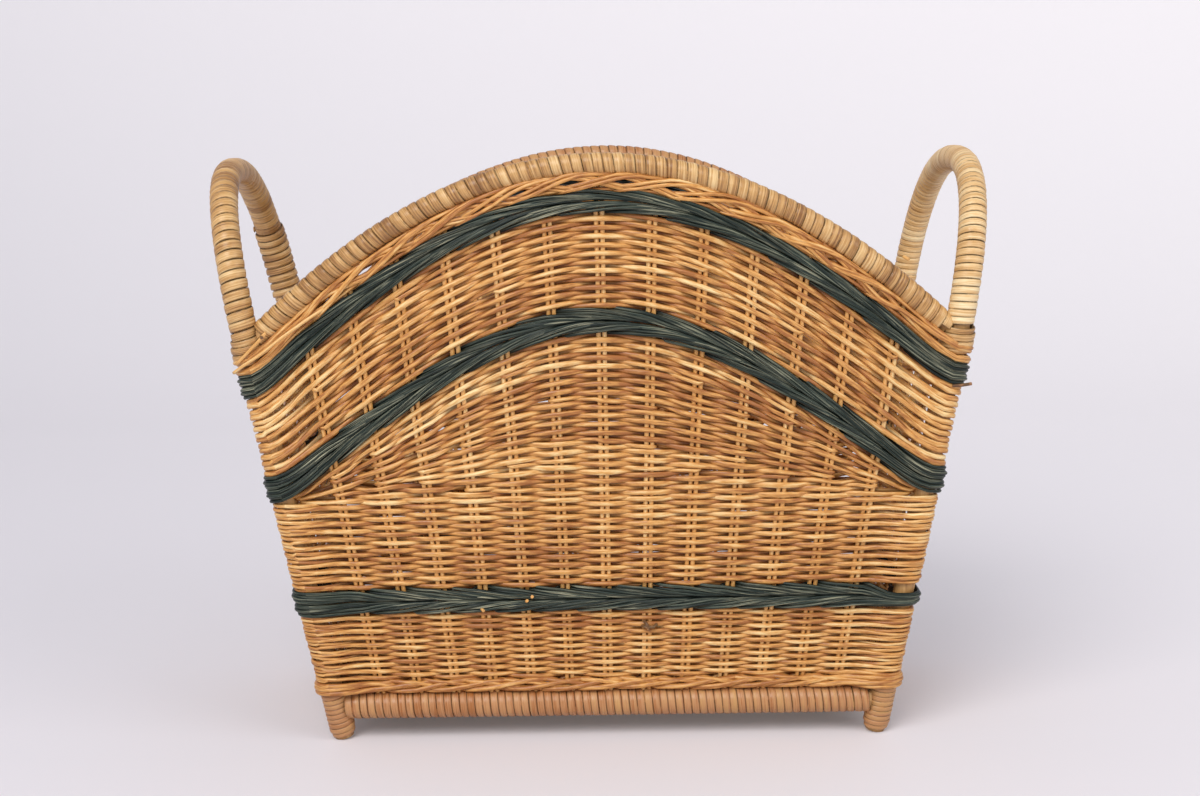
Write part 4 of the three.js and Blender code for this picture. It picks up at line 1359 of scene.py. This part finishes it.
class BASKET_OT_stage(BasketOperator, bpy.types.Operator):
    """Lay the floor and backdrop, and set the lights and the camera"""

    bl_idname = "basket.stage"
    bl_label = "Floor, Lights and Camera"

    lamps = (
        ("window", (-0.8, -1.9, 2.0), 1.8, 49.5, (1.0, 0.98, 0.95)),
        ("fill", (1.9, -1.3, 1.4), 1.8, 16.0, (1.0, 0.98, 0.96)),
    )
    looked_at = (0, 0, 0.17)
    camera_place = (0.009676, -1.073832, 0.372815)
    yaw, pitch, roll = -0.0115, 0.1564, -0.01815

    def make(self, context, form):
        bpy.ops.object.select_all(action="DESELECT")
        bpy.ops.mesh.primitive_grid_add(x_subdivisions=1, y_subdivisions=60, size=1, location=(0, 0, 0))
        floor = context.active_object
        floor.name = "pale_floor"
        front, bend, sweep, wall = -3.0, 1.1, 0.9, 3.0
        length = bend - front + sweep * np.pi / 2 + wall
        for vertex in floor.data.vertices:
            run = (vertex.co.y + 0.5) * length - (bend - front)
            turn = min(max(run / sweep, 0), np.pi / 2)
            y = bend + min(run, 0) + sweep * np.sin(turn)
            z = sweep * (1 - np.cos(turn)) + max(run - sweep * np.pi / 2, 0)
            vertex.co = Vector((vertex.co.x * 9, y, z))
        bpy.ops.object.shade_smooth()
        shader = Shader("pale_cloth")
        shader.coat((0.76, 0.725, 0.762, 1), 0.95, 0.0)
        # Painted glow: the cloth glows for camera rays only, more towards the top, the right and the back, lightening
        # the floor where the basket's shadow falls to the right
        seen = shader.node("ShaderNodeLightPath").outputs["Is Camera Ray"]
        place = shader.node("ShaderNodeSeparateXYZ", {0: shader.place()}).outputs
        painted_glow = shader.add_layers(
            shader.remap(place["Z"], 0.0, 0.9, 0, 0.12),
            (place["X"], -1.2, 1.2, 0, 0.17),
            (place["Y"], -0.1, 1.0, 0, 0.12),
        )
        shader.set(shader.surface.inputs["Emission Color"], (1.0, 0.95, 0.9, 1))
        shader.set(shader.surface.inputs["Emission Strength"], shader.math("MULTIPLY", seen, painted_glow))
        floor.data.materials.append(shader.material)

        world = bpy.data.worlds.new("soft_room")
        context.scene.world = world
        world.use_nodes = True
        tree = world.node_tree
        background = next(node for node in tree.nodes if node.type == "BACKGROUND")
        background.inputs["Color"].default_value = (0.84, 0.9, 1.0, 1)
        background.inputs["Strength"].default_value = 0.5
        for name, place, size, power, colour in self.lamps:
            data = bpy.data.lights.new(name, "AREA")
            data.shape = "DISK"
            data.size = size
            data.energy = power
            data.color = colour
            lamp = bpy.data.objects.new(name, data)
            context.scene.collection.objects.link(lamp)
            lamp.location = place
            lamp.rotation_euler = (Vector(self.looked_at) - Vector(place)).to_track_quat("-Z", "Y").to_euler()

        data = bpy.data.cameras.new("camera")
        data.lens = 50
        data.sensor_width = 36
        camera = bpy.data.objects.new("camera", data)
        context.scene.collection.objects.link(camera)
        yaw, pitch, roll = self.yaw, self.pitch, self.roll
        ahead = Vector((np.sin(yaw) * np.cos(pitch), np.cos(yaw) * np.cos(pitch), -np.sin(pitch)))
        right = Vector((np.cos(yaw), -np.sin(yaw), 0))
        up = right.cross(ahead)
        right, up = right * np.cos(roll) + up * np.sin(roll), up * np.cos(roll) - right * np.sin(roll)
        turned = Matrix((right, up, -ahead)).transposed().to_4x4()
        camera.matrix_world = Matrix.Translation(Vector(self.camera_place) + Vector((MIDDLE_X, 0, 0))) @ turned
        context.scene.camera = camera
        context.scene.view_settings.view_transform = "Standard"


OPERATORS = (
    BASKET_OT_end_hoops,
    BASKET_OT_handle_windings,
    BASKET_OT_rim_windings,
    BASKET_OT_rail_windings,
    BASKET_OT_corner_windings,
    BASKET_OT_stakes,
    BASKET_OT_level_rows,
    BASKET_OT_arched_rows,
    BASKET_OT_fanned_rows,
    BASKET_OT_green_bands,
    BASKET_OT_natural_wales,
    BASKET_OT_loose_ends,
    BASKET_OT_floor,
    BASKET_OT_hidden_poles,
    BASKET_OT_stage,
)


class BASKET_PT_panel(bpy.types.Panel):
    """Steps of the basket, in the order of its making"""

    bl_idname = "BASKET_PT_panel"
    bl_label = "Magazine Basket"
    bl_space_type = "VIEW_3D"
    bl_region_type = "UI"
    bl_category = "Basket"

    def draw(self, context):
        for operator in OPERATORS:
            self.layout.operator(operator.bl_idname)
        for group in (context.scene.basket_frame_sizes, context.scene.basket_weave_sizes, context.scene.basket_colours):
            for name in group.bl_rna.properties.keys():
                if name not in ("rna_type", "name"):
                    self.layout.prop(group, name)


GROUPS = {
    "basket_frame_sizes": BasketFrameSizes,
    "basket_weave_sizes": BasketWeaveSizes,
    "basket_colours": BasketColours,
}


def register():
    for kind in (*GROUPS.values(), *OPERATORS, BASKET_PT_panel):
        bpy.utils.register_class(kind)
    for name, group in GROUPS.items():
        setattr(bpy.types.Scene, name, PointerProperty(type=group))


def unregister():
    for name in GROUPS:
        delattr(bpy.types.Scene, name)
    for kind in reversed((*GROUPS.values(), *OPERATORS, BASKET_PT_panel)):
        bpy.utils.unregister_class(kind)


def main():
    register()
    for operator in OPERATORS:
        group, name = operator.bl_idname.split(".")
        getattr(getattr(bpy.ops, group), name)()


if __name__ == "__main__":
    main()
